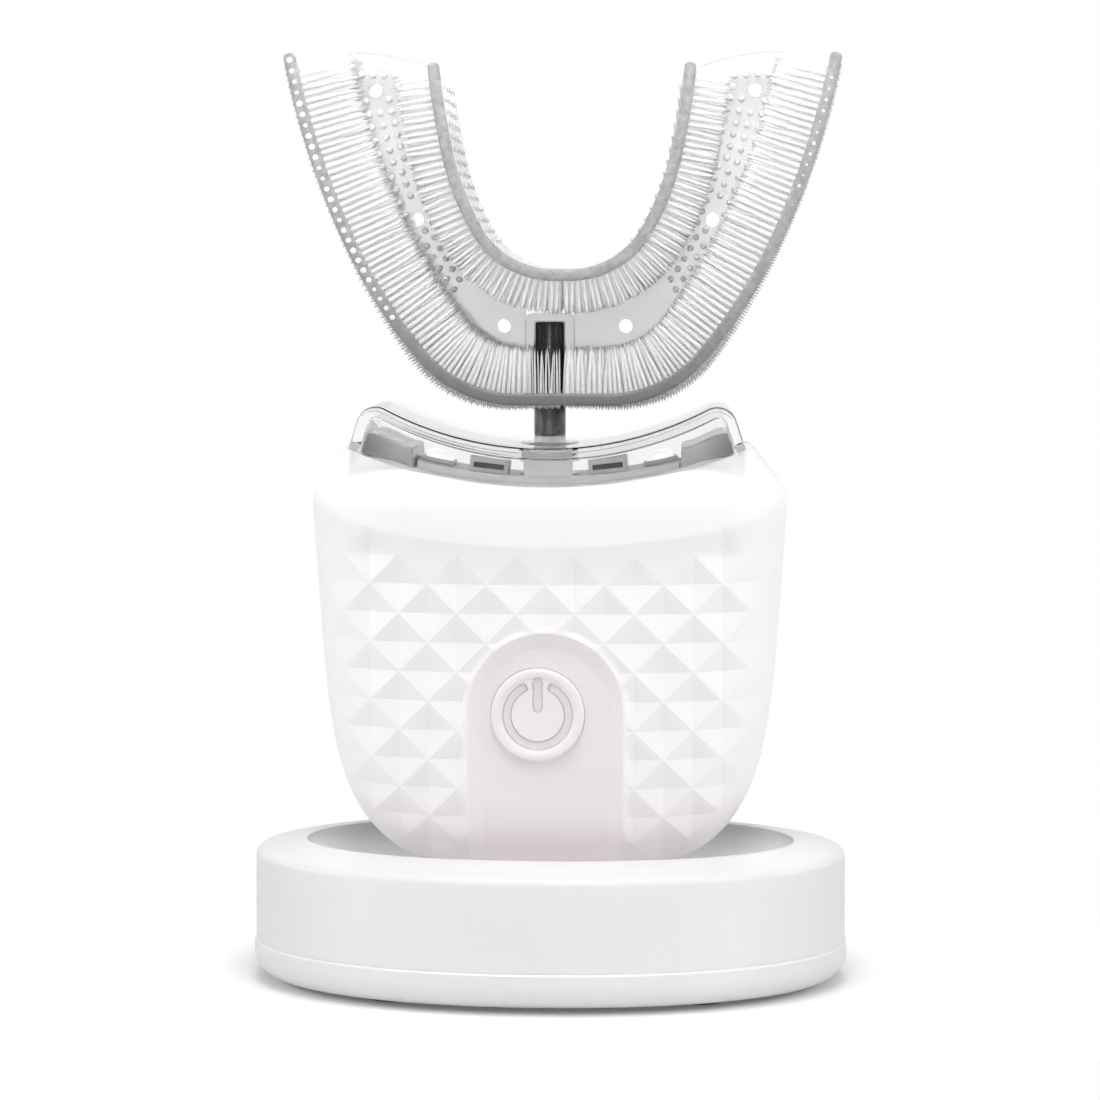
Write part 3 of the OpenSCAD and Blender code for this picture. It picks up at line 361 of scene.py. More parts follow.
# Painted shade: the band round the edge of the sunk symbol is coloured dark, standing in for the shade on the
# groove's walls.
MARK_EDGE_SHADE = finish_of("button_mark_edge_shade", (0.52, 0.49, 0.485), 0.45, 0.04, 400, 5200, 0.05)
MARK_GREY = finish_of("button_mark_satin", (0.83, 0.80, 0.795), 0.45, 0.03, 400, 5200, 0.05)
SILICONE = finish_of(
    "clear_silicone", (0.93, 0.93, 0.935), 0.16, 0.02, 160, 2400, 0.08, 0.05,
    Transmission_Weight=0.82, IOR=1.41,
)
SOFT_WHITE = finish_of(
    "white_silicone", (0.975, 0.975, 0.98), 0.30, 0.01, 300, 4000, 0.03, 0.05,
    Transmission_Weight=0.15, IOR=1.2,
)
# Painted shade: the bristles are coloured darker toward the bottom of the U, where it lies in shade.
BRISTLE = finish_of(
    "bristle_silicone", (0.985, 0.985, 0.985), 0.28, 0.008, 300, 4000, 0.02, 0.05,
    tint=fade(height, 90, 72, (0.82, 0.82, 0.82)), Sheen_Weight=1.0, Sheen_Roughness=0.5,
    Subsurface_Weight=0.8, Subsurface_Radius=(1, 1, 1), Subsurface_Scale=0.0012,
)
NUB = finish_of(
    "nub_silicone", (0.78, 0.78, 0.785), 0.26, 0.03, 300, 4000, 0.03, 0.05,
    Transmission_Weight=0.35, IOR=1.25,
)
# Painted shade: the web is coloured a little darker toward the bottom of the U and much darker along its top
# edge.
WEB = finish_of(
    "web_silicone", (0.965, 0.965, 0.97), 0.22, 0.02, 260, 2400, 0.05, 0.05,
    tint=both(fade(height, 94, 78, (0.93, 0.93, 0.935)), fade(height, 101, 108, (0.72, 0.72, 0.725))),
    Transmission_Weight=0.72, IOR=1.15,
)
# Painted shade: the front and back faces of the clear walls are coloured dark grey, and darker still toward
# the bottom of the U.
RIM = finish_of(
    "rim_silicone", (0.40, 0.395, 0.39), 0.22, 0.20, 1500, 2600, 0.10, 0.05,
    tint=fade(height, 84, 70, (0.19, 0.185, 0.182), 0.9), Transmission_Weight=0.25, IOR=1.3,
)
SOCKET = finish_of(
    "socket_silicone", (0.60, 0.60, 0.605), 0.06, 0.01, 160, 2400, 0.02, 0.03,
    Transmission_Weight=1.0, IOR=1.06,
)
# Painted light: the steel shaft's lower part is coloured near-white so that it does not look dark in the
# cover's shade.
SHAFT_PAINTED_LIGHT = finish_of("shaft_painted_light", (0.93, 0.93, 0.935), 0.30, 0.03, 400, 5200, 0.05)
SHAFT = finish_of(
    "dark_turned_steel", (0.175, 0.172, 0.17), 0.30, 0.06, 900, 6000, 0.02,
    stretch=(1, 1, 0.1), Metallic=1.0,
)
STEEL = finish_of("bright_steel", (0.62, 0.62, 0.63), 0.28, 0.05, 600, 6000, 0.08, Metallic=1.0)
RUBBER = finish_of("grey_rubber", (0.10, 0.10, 0.105), 0.62, 0.08, 500, 5200, 0.16)
BOARD = finish_of("green_circuit_board", (0.045, 0.20, 0.10), 0.42, 0.10, 900, 6000, 0.10)
LIGHT_BOARD = finish_of("white_circuit_board", (0.88, 0.88, 0.88), 0.42, 0.04, 900, 6000, 0.08)
CHIP = finish_of("black_chip_resin", (0.035, 0.035, 0.038), 0.48, 0.10, 900, 9000, 0.15)
COPPER = finish_of(
    "wound_copper_wire", (0.62, 0.30, 0.14), 0.30, 0.10, 300, 5000, 0.25, stretch=(1, 1, 8), Metallic=1.0
)
FERRITE = finish_of("ferrite_sheet", (0.075, 0.072, 0.07), 0.58, 0.12, 700, 7000, 0.18)
INNER = finish_of("inner_white_plastic", (0.72, 0.73, 0.74), 0.46, 0.03, 200, 5200, 0.08)
DECK = finish_of("deck_white_plastic", (0.90, 0.90, 0.905), 0.36, 0.02, 200, 5200, 0.06)
LENS = finish_of(
    "lamp_lens", (0.95, 0.95, 0.945), 0.22, 0.01, 500, 5200, 0.03,
    Emission_Color=(1, 1, 1, 1), Emission_Strength=0.7,
)
LENS_BODY = finish_of("lamp_housing", (0.80, 0.80, 0.805), 0.38, 0.04, 500, 5200, 0.06)
WINDOW = finish_of("lamp_window", (0.05, 0.05, 0.05), 0.12, 0.05, 500, 5200, 0.02)
DIFFUSER = finish_of(
    "smoked_diffuser", (0.66, 0.665, 0.67), 0.20, 0.05, 260, 4000, 0.06,
    tint=fade(sideways, 17.5, 22, (0.26, 0.262, 0.265)), Transmission_Weight=0.35, IOR=1.49,
)
BATTERY = finish_of("battery_wrap", (0.16, 0.33, 0.58), 0.34, 0.04, 240, 5200, 0.05)
BRONZE = finish_of("sintered_bronze", (0.55, 0.38, 0.18), 0.42, 0.12, 900, 6000, 0.2, Metallic=1.0)
CAN = finish_of(
    "brushed_motor_can", (0.52, 0.52, 0.54), 0.30, 0.06, 500, 6000, 0.10, stretch=(1, 1, 10), Metallic=1.0
)
MAGNET = finish_of("magnet_plating", (0.45, 0.46, 0.50), 0.28, 0.06, 500, 6000, 0.08, Metallic=1.0)

CARRIED = {
    "dock_feet": RUBBER, "dock_screws": STEEL, "dock_board": BOARD, "dock_chips": CHIP,
    "charging_inlet": STEEL, "dock_coil": COPPER, "dock_ferrite": FERRITE,
    "shell_gasket": INNER, "shell_screws": STEEL, "top_deck": DECK, "light_board": LIGHT_BOARD,
    "shaft_seals": SILICONE, "chassis": INNER, "battery": BATTERY,
    "main_board": BOARD, "board_chips": CHIP, "tact_switch": STEEL, "receiver_coil": COPPER,
    "receiver_ferrite": FERRITE, "motor_can": CAN, "motor_stator": COPPER,
    "motor_bearings": BRONZE, "motor_cushions": RUBBER, "motor_rotor": MAGNET,
}
for name, material in CARRIED.items():
    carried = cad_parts[name].data
    carried.materials.clear()
    carried.materials.append(material)

# ---------------------------------------------------------------- dock

dock_low, dock_high = box("dock_housing")
shell_low, shell_high = box("front_shell")

HALF_W, HALF_D = dock_high[0], dock_high[1]
BASE_Z = box("dock_base")[0][2]
PARTING_Z = dock_low[2]
LIP_Z = dock_high[2]
SEAT_Z = shell_low[2]
RIM_Z = 16.1
RIM_ROUND = 0.9
DRAFT = 0.3
FOOT_INSET = 0.2
DOCK_SQUARE = 2.1
RECESS = (29.5, 15.0)
SEAT = (13.0, 8.0)
DOCK_WALL = 1.8
DISH_POWER = 2.4
TRAY_ROUND = 3.0
TRAY_FLOOR = 1.6
TRAY_STEP = 1.2
SCREW_AT = (27, 7)
FOOT_AT = (18, 11.5)


def dish_point(share, grow=0.0, drop=0.0):
    """Half sizes and height of the recess, from the seat's edge at share 0 to its lip at 1."""
    depth = (LIP_Z - 0.2 - SEAT_Z) * (1 - math.sqrt(max(0, 1 - share**DISH_POWER)))
    a, b = (seat + (lip - seat) * share + grow for seat, lip in zip(SEAT, RECESS))
    return a, b, SEAT_Z + depth - drop


def dock_outside():
    """Half sizes and heights of the housing's outside, from the parting line to the seat."""
    low = PARTING_Z + 0.02
    wall_top = RIM_Z - RIM_ROUND
    line = [(HALF_W - FOOT_INSET - 0.05, HALF_D - FOOT_INSET - 0.05, PARTING_Z)]
    for s in (0, 0.25, 0.5, 0.75, 1):
        inset = FOOT_INSET + (DRAFT - FOOT_INSET) * s
        line.append((HALF_W - inset, HALF_D - inset, low + (wall_top - low) * s))
    for t in np.radians(np.arange(15, 91, 15)):
        inset = DRAFT + RIM_ROUND * (1 - math.cos(t))
        line.append((HALF_W - inset, HALF_D - inset, wall_top + RIM_ROUND * math.sin(t)))
    land_a, land_b = (half - DRAFT - RIM_ROUND - lip for half, lip in zip((HALF_W, HALF_D), RECESS))
    for s in np.arange(1, 15) / 15:
        rise = (LIP_Z - RIM_Z) * math.sin(math.pi / 2 * s)
        line.append((RECESS[0] + land_a * (1 - s), RECESS[1] + land_b * (1 - s), RIM_Z + rise))
    line += [(RECESS[0] + grow, RECESS[1] + grow, LIP_Z - drop) for grow, drop in ((0.12, 0.02), (0.02, 0.1))]
    shares = (1, 0.997, 0.985, 0.965, 0.94, 0.9, 0.85, 0.79, 0.72, 0.63, 0.53, 0.42, 0.3, 0.16, 0)
    line += [dish_point(share) for share in shares]
    return line + [(SEAT[0] * f, SEAT[1] * f, SEAT_Z) for f in (0.7, 0.4, 0.15)]


def dock_inside():
    """The same for the inside, from the seat back to the parting line."""
    w = DOCK_WALL
    line = [(SEAT[0] * f, SEAT[1] * f, SEAT_Z - w) for f in (0.15, 0.6)]
    line += [dish_point(share, w * 0.3, w) for share in (0, 0.5, 0.8, 0.95)]
    return line + [
        (RECESS[0] + 0.9 * w, RECESS[1] + 0.9 * w, LIP_Z - 1.6 * w),
        (RECESS[0] + w, RECESS[1] + w, RIM_Z - w),
        (HALF_W - DRAFT - w, HALF_D - DRAFT - w, RIM_Z - w - 0.3),
        (HALF_W - w, HALF_D - w, PARTING_Z),
    ]


def make_dock():
    """Housing, drawn from the seat's underside round the outside to the seat's top."""
    line = dock_inside() + dock_outside()
    thing = loft("dock_top_housing", [oval(a, b, DOCK_SQUARE, z) for a, b, z in line])
    combine(thing, [slot_cutter(*box("charging_inlet"), 0.15)])
    return thing


def slot_cutter(low, high, gap):
    """Stadium-shaped cutter round the inlet, along Y."""
    z = (low[2] + high[2]) / 2
    h = (high[2] - low[2]) / 2 + gap
    run = (high[0] - low[0]) / 2 + gap - h
    t = np.radians(np.arange(-90, 91, 11.25))
    x, up = run + h * np.cos(t), z + h * np.sin(t)
    x, up = np.concatenate([x, -x[::-1]]), np.concatenate([up, up[::-1]])
    return loft("cutter", [np.stack([x, np.full(len(x), y), up], 1) for y in (high[1] - 5, high[1] + 6)])


def make_base():
    """Tray with a rounded foot, screw holes, and shallow seats for the rubber feet."""
    a, b, r = HALF_W, HALF_D, TRAY_ROUND
    wall = DOCK_WALL + 0.15
    tray_z, floor_z = PARTING_Z + TRAY_FLOOR, BASE_Z + TRAY_FLOOR
    rings = [(f * (a - r), f * (b - r), BASE_Z) for f in (0.3, 0.8)]
    for t in np.radians(np.arange(0, 91, 10)):
        out = r * math.sin(t) - r
        rings.append((a + out, b + out, BASE_Z + r - r * math.cos(t)))
    edge = ((0, PARTING_Z - 0.26), (0.26, PARTING_Z), (wall, PARTING_Z), (wall, tray_z))
    for inset, z in (*edge, (wall + TRAY_STEP, tray_z), (wall + TRAY_STEP, floor_z)):
        rings.append((a - inset, b - inset, z))
    rings.append((0.5 * a, 0.5 * b, floor_z))
    thing = loft("dock_base_tray", [oval(x, y, DOCK_SQUARE, z) for x, y, z in rings])
    holes = ((*SCREW_AT, 1.3, 9), (*SCREW_AT, 2.05, BASE_Z + 1.05), (*FOOT_AT, 3.6, BASE_Z + 0.3))
    cutters = [
        rod(radius, (sx * x, sy * y, -1), (sx * x, sy * y, top))
        for sx in (-1, 1)
        for sy in (-1, 1)
        for x, y, radius, top in holes
    ]
    combine(thing, cutters + [slot_cutter(*box("charging_inlet"), 0.45)])
    return thing


place(make_dock(), "dock", "dock_shell", DOCK_WHITE, "dock_housing")
place(make_base(), "dock", "dock_shell", DOCK_WHITE, "dock_base")

# ---------------------------------------------------------------- handset shells

BODY_H = 45.6
SHOULDER_Z = SEAT_Z + BODY_H
BODY_W, BODY_D = shell_high[0], -shell_low[1]
CORNER_Z = SHOULDER_Z + 5.6
COLLAR_Z = SHOULDER_Z + 1.2
COLLAR_R = 65.0
WALL = 1.8
SEAM = 0.3
BODY_SQUARE = 2.8
LATTICE = 3.45
LATTICE_Z = SHOULDER_Z - 13.5
PIT_LOW, PIT_HIGH = -8, 1
PATTERN_X = 7 * LATTICE
PIT_DEPTH = 0.68
BAND_R = 100.0
BAND_OUT = 0.42
BAND_Z = SHOULDER_Z - 5.7
PANEL_X = 7.3
PANEL_BEVEL = 1.8
PANEL_DEPTH = 0.9
BUTTON_X, BUTTON_Z = -0.9, SEAT_Z + 20.2
ARCH_Z = BUTTON_Z + 0.6
HOLE_R = 5.55
TOP_FILLET = 0.45
FLAT_ROWS = (0.0, 0.35, 0.7)
FOOT_ROWS = (0, 0.05, 0.15, 0.3, 0.5, 0.8, 1.15, 1.55, 2.0, 2.5, 3.05, 3.6, 4.1)
BOSSES = ((15.2, 22.5), (22.6, 56.8))


def reach(z, half, inset, taper, power, lean):
    z = np.asarray(z, float)
    t = np.clip((SHOULDER_Z - z) / (BODY_H + 0.6 - inset), 0, 1)
    soft = 0.6
    above = soft * np.log1p(np.exp(np.clip((z - SHOULDER_Z) / soft, -30, 30)))
    return (half - inset) * (1 - taper * t) * np.clip(1 - t**power, 0, 1) ** (1 / 3) - lean / 5.6 * above


def half_width(z, inset=0.0):
    return reach(z, BODY_W, inset, 0.11, 6, 4.3)


def half_depth(z, inset=0.0):
    return reach(z, BODY_D, inset, 0.04, 9, 2.15)


def column_place(c, w):
    """X of column c on a face of half width w: true in the middle, closer near the side."""
    edge = 0.84 * w
    share = np.clip((np.abs(c) - edge) / np.maximum(BODY_W - edge, 1e-6), 0, 1)
    bent = edge + (w - edge) * np.sin(share * math.pi / 2)
    return np.sign(c) * np.where(np.abs(c) <= edge, np.abs(c), bent)


def face_depth(x, w, d):
    return d * np.clip(1 - (np.abs(x) / np.maximum(w, 1e-6)) ** BODY_SQUARE, 0, 1) ** (1 / BODY_SQUARE)


def pit(x, z, w):
    """Depth of the pyramid pits at a place on the face."""
    u, v = x / LATTICE, (z - LATTICE_Z) / LATTICE
    a, b = u + v, u - v
    a0, b0 = 2 * np.round(a / 2), 2 * np.round(b / 2)
    k, row = (a0 + b0) / 2, (a0 - b0) / 2
    deep = PIT_DEPTH * (1 - np.maximum(np.abs(a - a0), np.abs(b - b0))) ** 1.12
    highest = PIT_HIGH + (np.abs(k) == 6)
    deep = deep * ((row >= PIT_LOW) & (row <= highest) & (np.abs(k) <= 7))
    deep = deep * np.where(np.abs(k) > 6.5, 0.45, 1.0)
    deep = deep * smooth_step((panel_distance(x, z) - PANEL_BEVEL) / 0.8)
    deep = deep * smooth_step((0.96 - np.abs(x) / np.maximum(w, 1e-6)) / 0.09)
    return deep * smooth_step((z - SEAT_Z - 1.2) / 1.5)


def band(x, z):
    """How far the smooth band stands proud, with a soft undercut below it."""
    edge = BAND_Z + x**2 / (2 * BAND_R)
    below = np.clip((z - edge + 4.2) / 4.2, 0, 1) ** 2
    above = np.clip(1 - (z - edge) / 6.0, 0, 1)
    return BAND_OUT * np.where(z < edge, below, above)


def top_line(c, inset=0.0):
    """Height of the collar's hollow top edge over column c."""
    z = np.full_like(c, CORNER_Z)
    for _ in range(30):
        x = column_place(c, half_width(z, inset))
        z = COLLAR_Z + COLLAR_R - np.sqrt(COLLAR_R**2 - np.clip(x, -40, 40) ** 2)
    return z


def panel_distance(x, z):
    """Distance outside the panel's flat arch; negative inside."""
    return np.where(z > ARCH_Z, np.hypot(x, z - ARCH_Z), np.abs(x)) - PANEL_X


def snap(x, z, level, reach_mm):
    """Moves grid points that lie close to a line of the panel onto that line."""
    s = panel_distance(x, z) - level
    near = (np.abs(s) < reach_mm) & (z > SEAT_Z + 0.05)
    arch = z > ARCH_Z
    length = np.maximum(np.hypot(x, z - ARCH_Z), 1e-6)
    gx = np.where(arch, x / length, np.sign(x))
    gz = np.where(arch, (z - ARCH_Z) / length, 0.0)
    return x - np.where(near, s * gx, 0), z - np.where(near, s * gz, 0)


def shell_rows(c, pattern):
    """Heights, shares of the depth and insets of the rows of a shell, over the columns c."""
    rows = [(SEAT_Z, f, 0.0) for f in FLAT_ROWS]
    rows += [(z, 1.0, 0.0) for z in (*(SEAT_Z + np.array(FOOT_ROWS)), *pattern)]
    crest = top_line(c)
    edge = np.minimum(BAND_Z + c**2 / (2 * BAND_R), crest - 2.2)
    rows += [(pattern[-1] + (edge - pattern[-1]) * s, 1.0, 0.0) for s in (0.3, 0.6, 0.85, 1.0)]
    below = crest - TOP_FILLET
    rows += [(edge + (below - edge) * s, 1.0, 0.0) for s in (0.04, 0.1, 0.2, 0.32, 0.45, 0.6, 0.75, 0.9, 1.0)]
    for t in np.radians([22.5, 45, 67.5, 90]):
        rows.append((below + TOP_FILLET * math.sin(t), 1.0, TOP_FILLET * (1 - math.cos(t))))
    heights = np.array([np.broadcast_to(z, c.shape) for z, _, _ in rows])
    return heights, *(np.array(v)[:, None] for v in list(zip(*rows))[1:])


def lattice_faces(rows, columns, base_row, fine):
    """Faces of a shell's outside; in the pattern the cells on a fold line are cut along it."""
    faces = []
    for j in range(rows - 1):
        for i in range(columns - 1):
            a = j * columns + i
            b, over_b, over_a = a + 1, a + columns + 1, a + columns
            k, row = i - (columns // 2 - 7 * fine), j - base_row
            faces.append((a, b, over_b, over_a))
            if not (0 <= row < 10 * fine and 0 <= k < 14 * fine):
                continue
            even = (k // fine + row // fine) % 2 == 1
            if even and k % fine + row % fine == fine - 1:
                faces[-1:] = [(a, b, over_a), (b, over_b, over_a)]
            elif not even and k % fine == row % fine:
                faces[-1:] = [(a, b, over_b), (a, over_b, over_a)]
    return faces


def strip(fine, coarse, marks):
    """Faces between a fine edge and a coarse one, whose points lie beside the marks of the fine one."""
    return [(*fine[a : b + 1], coarse[m + 1], coarse[m]) for m, (a, b) in enumerate(zip(marks, marks[1:]))]


def make_shell(name, side, fine):
    """Front (side -1) or rear (side 1) shell, as a closed solid with its wall."""
    step = LATTICE / fine
    beside = PATTERN_X + (BODY_W - PATTERN_X) * np.arange(1, 15) / 14
    c = both_sides(np.concatenate([np.arange(0, 7 * fine + 1) * step, beside]))
    ground = LATTICE_Z - 8 * LATTICE
    heights, f, e = shell_rows(c, ground + np.arange(0, 10 * fine + 1) * step)
    z = heights
    rows, columns = z.shape
    w, d = half_width(z) - e, half_depth(z) - e
    x = column_place(np.broadcast_to(c, z.shape), w)
    if side < 0:
        for level in (0.0, PANEL_BEVEL):
            x, z = snap(x, z, level, 0.5 * step)
        w, d = half_width(z) - e, half_depth(z) - e
    face = face_depth(x, w, d)
    soft = smooth_step((1 - np.abs(x) / np.maximum(w, 1e-6)) / 0.12)
    outer = face - pit(x, z, w) + band(x, z) * soft
    if side < 0:
        s = panel_distance(x, z)
        flat = half_depth(np.maximum(z, SEAT_Z + 0.02)) - PANEL_DEPTH
        inside = flat + (face - flat) * np.clip(s / PANEL_BEVEL, 0, 1)
        outer = np.where(s <= PANEL_BEVEL + 1e-4, inside, outer)
    y = side * (SEAM + (np.maximum(outer, SEAM) - SEAM) * f)
    points = [np.stack([x, y, z], 2).reshape(-1, 3)]
    faces = lattice_faces(rows, columns, len(FLAT_ROWS) + len(FOOT_ROWS), fine)

    # inner surface, coarser, joined to the outer one round the edge
    stride = 8 if fine > 8 else 4
    rows_in = [*range(0, rows - 1, stride), rows - 1]
    columns_in = [*range(0, columns - 1, stride), columns - 1]
    z = heights[np.ix_(rows_in, columns_in)]
    floor_z = SEAT_Z + WALL
    z = np.where(z < ground, floor_z + (z - SEAT_Z) * (ground - floor_z) / (ground - SEAT_Z), z)
    w, d = half_width(z, WALL), half_depth(z, WALL)
    x = column_place(np.broadcast_to(c[columns_in], z.shape) * (1 - WALL / BODY_W), w)
    x[:, 0], x[:, -1] = -w[:, 0], w[:, -1]
    y = side * (SEAM + (np.maximum(face_depth(x, w, d), SEAM) - SEAM) * f[rows_in])
    points.append(np.stack([x, y, z], 2).reshape(-1, 3))
    faces += [tuple(reversed(q)) for q in grid_faces(*z.shape, rows * columns)]
    outer_ids = np.arange(rows * columns).reshape(rows, columns)
    inner_ids = rows * columns + np.arange(z.size).reshape(z.shape)
    for end in (0, -1):
        faces += strip(outer_ids[end], inner_ids[end], columns_in)
        faces += strip(outer_ids[:, end], inner_ids[:, end], rows_in)
    return solid(name, np.vstack(points), faces, 40)


def crease(bm):
    """Keeps the fold lines of the pyramid pits crisp."""
    top = (LATTICE_Z + 2 * LATTICE) * MM
    for e in bm.edges:
        if len(e.link_faces) == 2 and e.smooth and abs(e.verts[0].co.y) > 9 * MM:
            inside = all(SEAT_Z * MM < v.co.z < top for v in e.verts)
            if inside and e.calc_face_angle(0) > math.radians(6):
                e.smooth = False


front = make_shell("handset_front_shell", -1, 16)
combine(front, [rod(HOLE_R, (BUTTON_X, -20, BUTTON_Z), (BUTTON_X, -5, BUTTON_Z), 120)], sharp=40)
edit_mesh(front, crease)
place(front, "handset", "handset_shell", SHELL_PINK, "front_shell")
x, y, z = face_centres(front).T
paint_faces(front, (panel_distance(x, z) < PANEL_BEVEL) & (y < -9), PANEL_PINK)

rear = make_shell("handset_rear_shell", 1, 8)


def boss_rods(radius, start, end):
    """Rods along Y at the four screw bosses; start and end give a y from the boss's seat."""
    made = []
    for x, z in BOSSES:
        seat = float(face_depth(np.array(x + 1.5), half_width(z), half_depth(z))) - 2.6
        made += [rod(radius, (s * x, start(seat), z), (s * x, end(seat), z)) for s in (-1, 1)]
    return made


combine(rear, boss_rods(2.2, lambda seat: 0.35, lambda seat: seat + 1.5), "UNION", sharp=40)
heads = boss_rods(1.65, lambda seat: seat, lambda seat: 20)
combine(rear, heads + boss_rods(0.95, lambda seat: -1, lambda seat: 20), sharp=40)
place(rear, "handset", "handset_shell", SHELL_PINK, "rear_shell")

# ---------------------------------------------------------------- power button


BUTTON_R = 5.5
BOWL_R = BUTTON_R - 1.1
MARK_RING = (3.15, 4.05)
MARK_GAP = math.radians(28)
MARK_BAR = 0.5
MARK_BAR_Z = (0.9, 3.9)


def mark(x, z):
    """Distance outside the sunk power symbol, an open ring and its bar."""
    middle, half = sum(MARK_RING) / 2, (MARK_RING[1] - MARK_RING[0]) / 2
    arc = np.abs(np.hypot(x, z) - middle) - half
    end = np.hypot(np.abs(x) - middle * math.sin(MARK_GAP), z - middle * math.cos(MARK_GAP)) - half
    arc = np.where(np.abs(np.arctan2(x, z)) < MARK_GAP, end, arc)
    above = np.maximum(np.maximum(z - MARK_BAR_Z[1], MARK_BAR_Z[0] - z), 0)
    return np.minimum(arc, np.hypot(x, above) - MARK_BAR)


def make_button():
    """Dished cap with the sunk symbol, a rim, and the skirt and stem behind it."""
    low, high = box("power_button")
    face_y = -low[1]
    turn = np.linspace(0, 2 * math.pi, 144, endpoint=False)
    radii = np.concatenate([np.arange(0.1, BOWL_R - 0.35, 0.1), [BOWL_R - 0.3, BOWL_R - 0.15]])
    x = radii[:, None] * np.sin(turn)
    z = radii[:, None] * np.cos(turn)
    # points near the symbol's edge move onto its two sides, so that the edge is crisp
    for _ in range(3):
        s, e = mark(x, z), 1e-3
        gx = (mark(x + e, z) - mark(x - e, z)) / (2 * e)
        gz = (mark(x, z + e) - mark(x, z - e)) / (2 * e)
        shift = (s - np.where(s > 0.02, 0.09, 0.0)) / np.maximum(gx**2 + gz**2, 1e-6)
        shift = np.where(np.abs(s - 0.04) < 0.08, shift, 0)
        x, z = x - shift * gx, z - shift * gz
    dish = 0.36 * (1 - 0.45 * (np.hypot(x, z) / BOWL_R) ** 2)
    depth = dish + 0.26 * (mark(x, z) < 0.02)
    rings = list(np.stack([x + BUTTON_X, depth - face_y, z + BUTTON_Z], 2))
    skirt = face_y - 11.55
    tail = [(BOWL_R - 0.05, 0.16), (BOWL_R + 0.08, 0.08), (BOWL_R + 0.25, 0.03), (BOWL_R + 0.45, 0.0)]
    tail += [(BUTTON_R - drop, back) for drop, back in ((0.35, 0.0), (0.2, 0.04), (0.08, 0.13), (0, 0.3))]
    tail += [(BUTTON_R, skirt), (BUTTON_R + 0.8, skirt), (BUTTON_R + 0.8, skirt + 0.6)]
    tail += [(1.7, skirt + 0.6), (1.7, face_y + high[1])]
    for r, back in tail:
        ring = [BUTTON_X + r * np.sin(turn), np.full(len(turn), back - face_y), BUTTON_Z + r * np.cos(turn)]
        rings.append(np.stack(ring, 1))
    thing = loft("power_button_cap", rings, sharp=40)
    x, y, z = face_centres(thing).T
    groove = mark(x - BUTTON_X, z - BUTTON_Z)
    # Faces numbered 1 lie in the groove; faces numbered 2 lie on the band round its edge, which is coloured
    # as painted shade.
    return thing, np.where((-y > face_y - 0.8) & (groove < 0.09), np.where(groove < -0.01, 1, 2), 0)


button, sunk = make_button()
place(button, "button", "button_plastic", BUTTON_PINK, "power_button")
paint_faces(button, sunk, MARK_GREY, MARK_EDGE_SHADE)

# ---------------------------------------------------------------- clear cover and its lamps

COVER_FOOT = 23.3
COVER_TOP_W = 21.3
COVER_R = 41.0
COVER_TOP_Z = COLLAR_Z + 4.5
COVER_ROUND = 2.4
COVER_WALL = 1.3
COVER_DEPTH = 11.7
# Painted shade: the clear cover is tinted grey near its top surface, where it looks darker.
CLEAR = finish_of(
    "clear_cover_plastic", (0.95, 0.955, 0.96), 0.03, 0.01, 120, 900, 0.02, 0.02,
    tint=fade(from_axis(COVER_TOP_Z + COVER_R), COVER_R + 1.6, COVER_R + 0.5, (0.74, 0.745, 0.75)),
    Transmission_Weight=1.0, IOR=1.3,
)
COVER_LEAN = math.atan2(
    COVER_FOOT - COVER_TOP_W,
    COVER_TOP_Z + COVER_R - math.sqrt(COVER_R**2 - COVER_TOP_W**2) - CORNER_Z,
)


def cover_bottom(x):
    return COLLAR_Z + 0.02 + COLLAR_R - np.sqrt(COLLAR_R**2 - x**2)


def cover_outline(inset):
    """Right half of the cover's top line, from the middle to the foot, set in by the wall."""
    up = np.array([-math.sin(COVER_LEAN), math.cos(COVER_LEAN)])
    out = np.array([math.cos(COVER_LEAN), math.sin(COVER_LEAN)])
    foot = np.array([COVER_FOOT, CORNER_Z])
    hollow = np.array([0, COVER_TOP_Z + COVER_R])
    start = foot - COVER_ROUND * out
    v = start - hollow
    b = v @ up
    run = -b - math.sqrt(b * b - v @ v + (COVER_R + COVER_ROUND) ** 2)
    corner = start + run * up
    to = hollow - corner
    end = math.atan2(to[1], to[0])
    span = math.atan2(corner[0], to[1])
    line = []
    for t in np.linspace(0, span, 28, endpoint=False):
        line.append(hollow + (COVER_R + inset) * np.array([math.sin(t), -math.cos(t)]))
    for t in np.linspace(end, COVER_LEAN, 12):
        line.append(corner + (COVER_ROUND - inset) * np.array([math.cos(t), math.sin(t)]))
    last = line[-1]
    low = last.copy()
    for _ in range(40):
        low = low - up * (low[1] - float(cover_bottom(low[0]))) / up[1]
    for s in (0.25, 0.5, 0.75, 1.0):
        line.append(last + (low - last) * s)
    return np.array(line)


def cover_half_depth(x, inset):
    return (COVER_DEPTH - inset) * (1 - np.clip(np.abs(x) / (BODY_W - inset), 0, 1) ** 4) ** 0.25


def cover_sections(inset, round_mm):
    """Sections across the cover, one over each point of its top line."""
    line = cover_outline(inset)
    line = np.vstack([line[:0:-1] * [-1, 1], line])
    x, top = line[:, 0], line[:, 1]
    bottom = np.minimum(cover_bottom(x), top)
    y = cover_half_depth(x, inset)
    r = np.minimum(round_mm, np.maximum(top - bottom, 0) * 0.8)
    front = [(y, bottom + (top - r - bottom) * s) for s in (0.0, 0.35, 0.7)]
    for t in np.linspace(0, math.pi / 2, 8):
        front.append((y - r * (1 - math.cos(t)), top - r + r * math.sin(t)))
    front += [((y - r) * f, top) for f in (0.75, 0.45, 0.15)]
    full = [(-a, b) for a, b in front] + front[::-1]
    return np.stack([np.stack([x, a, b], 1) for a, b in full], 1)


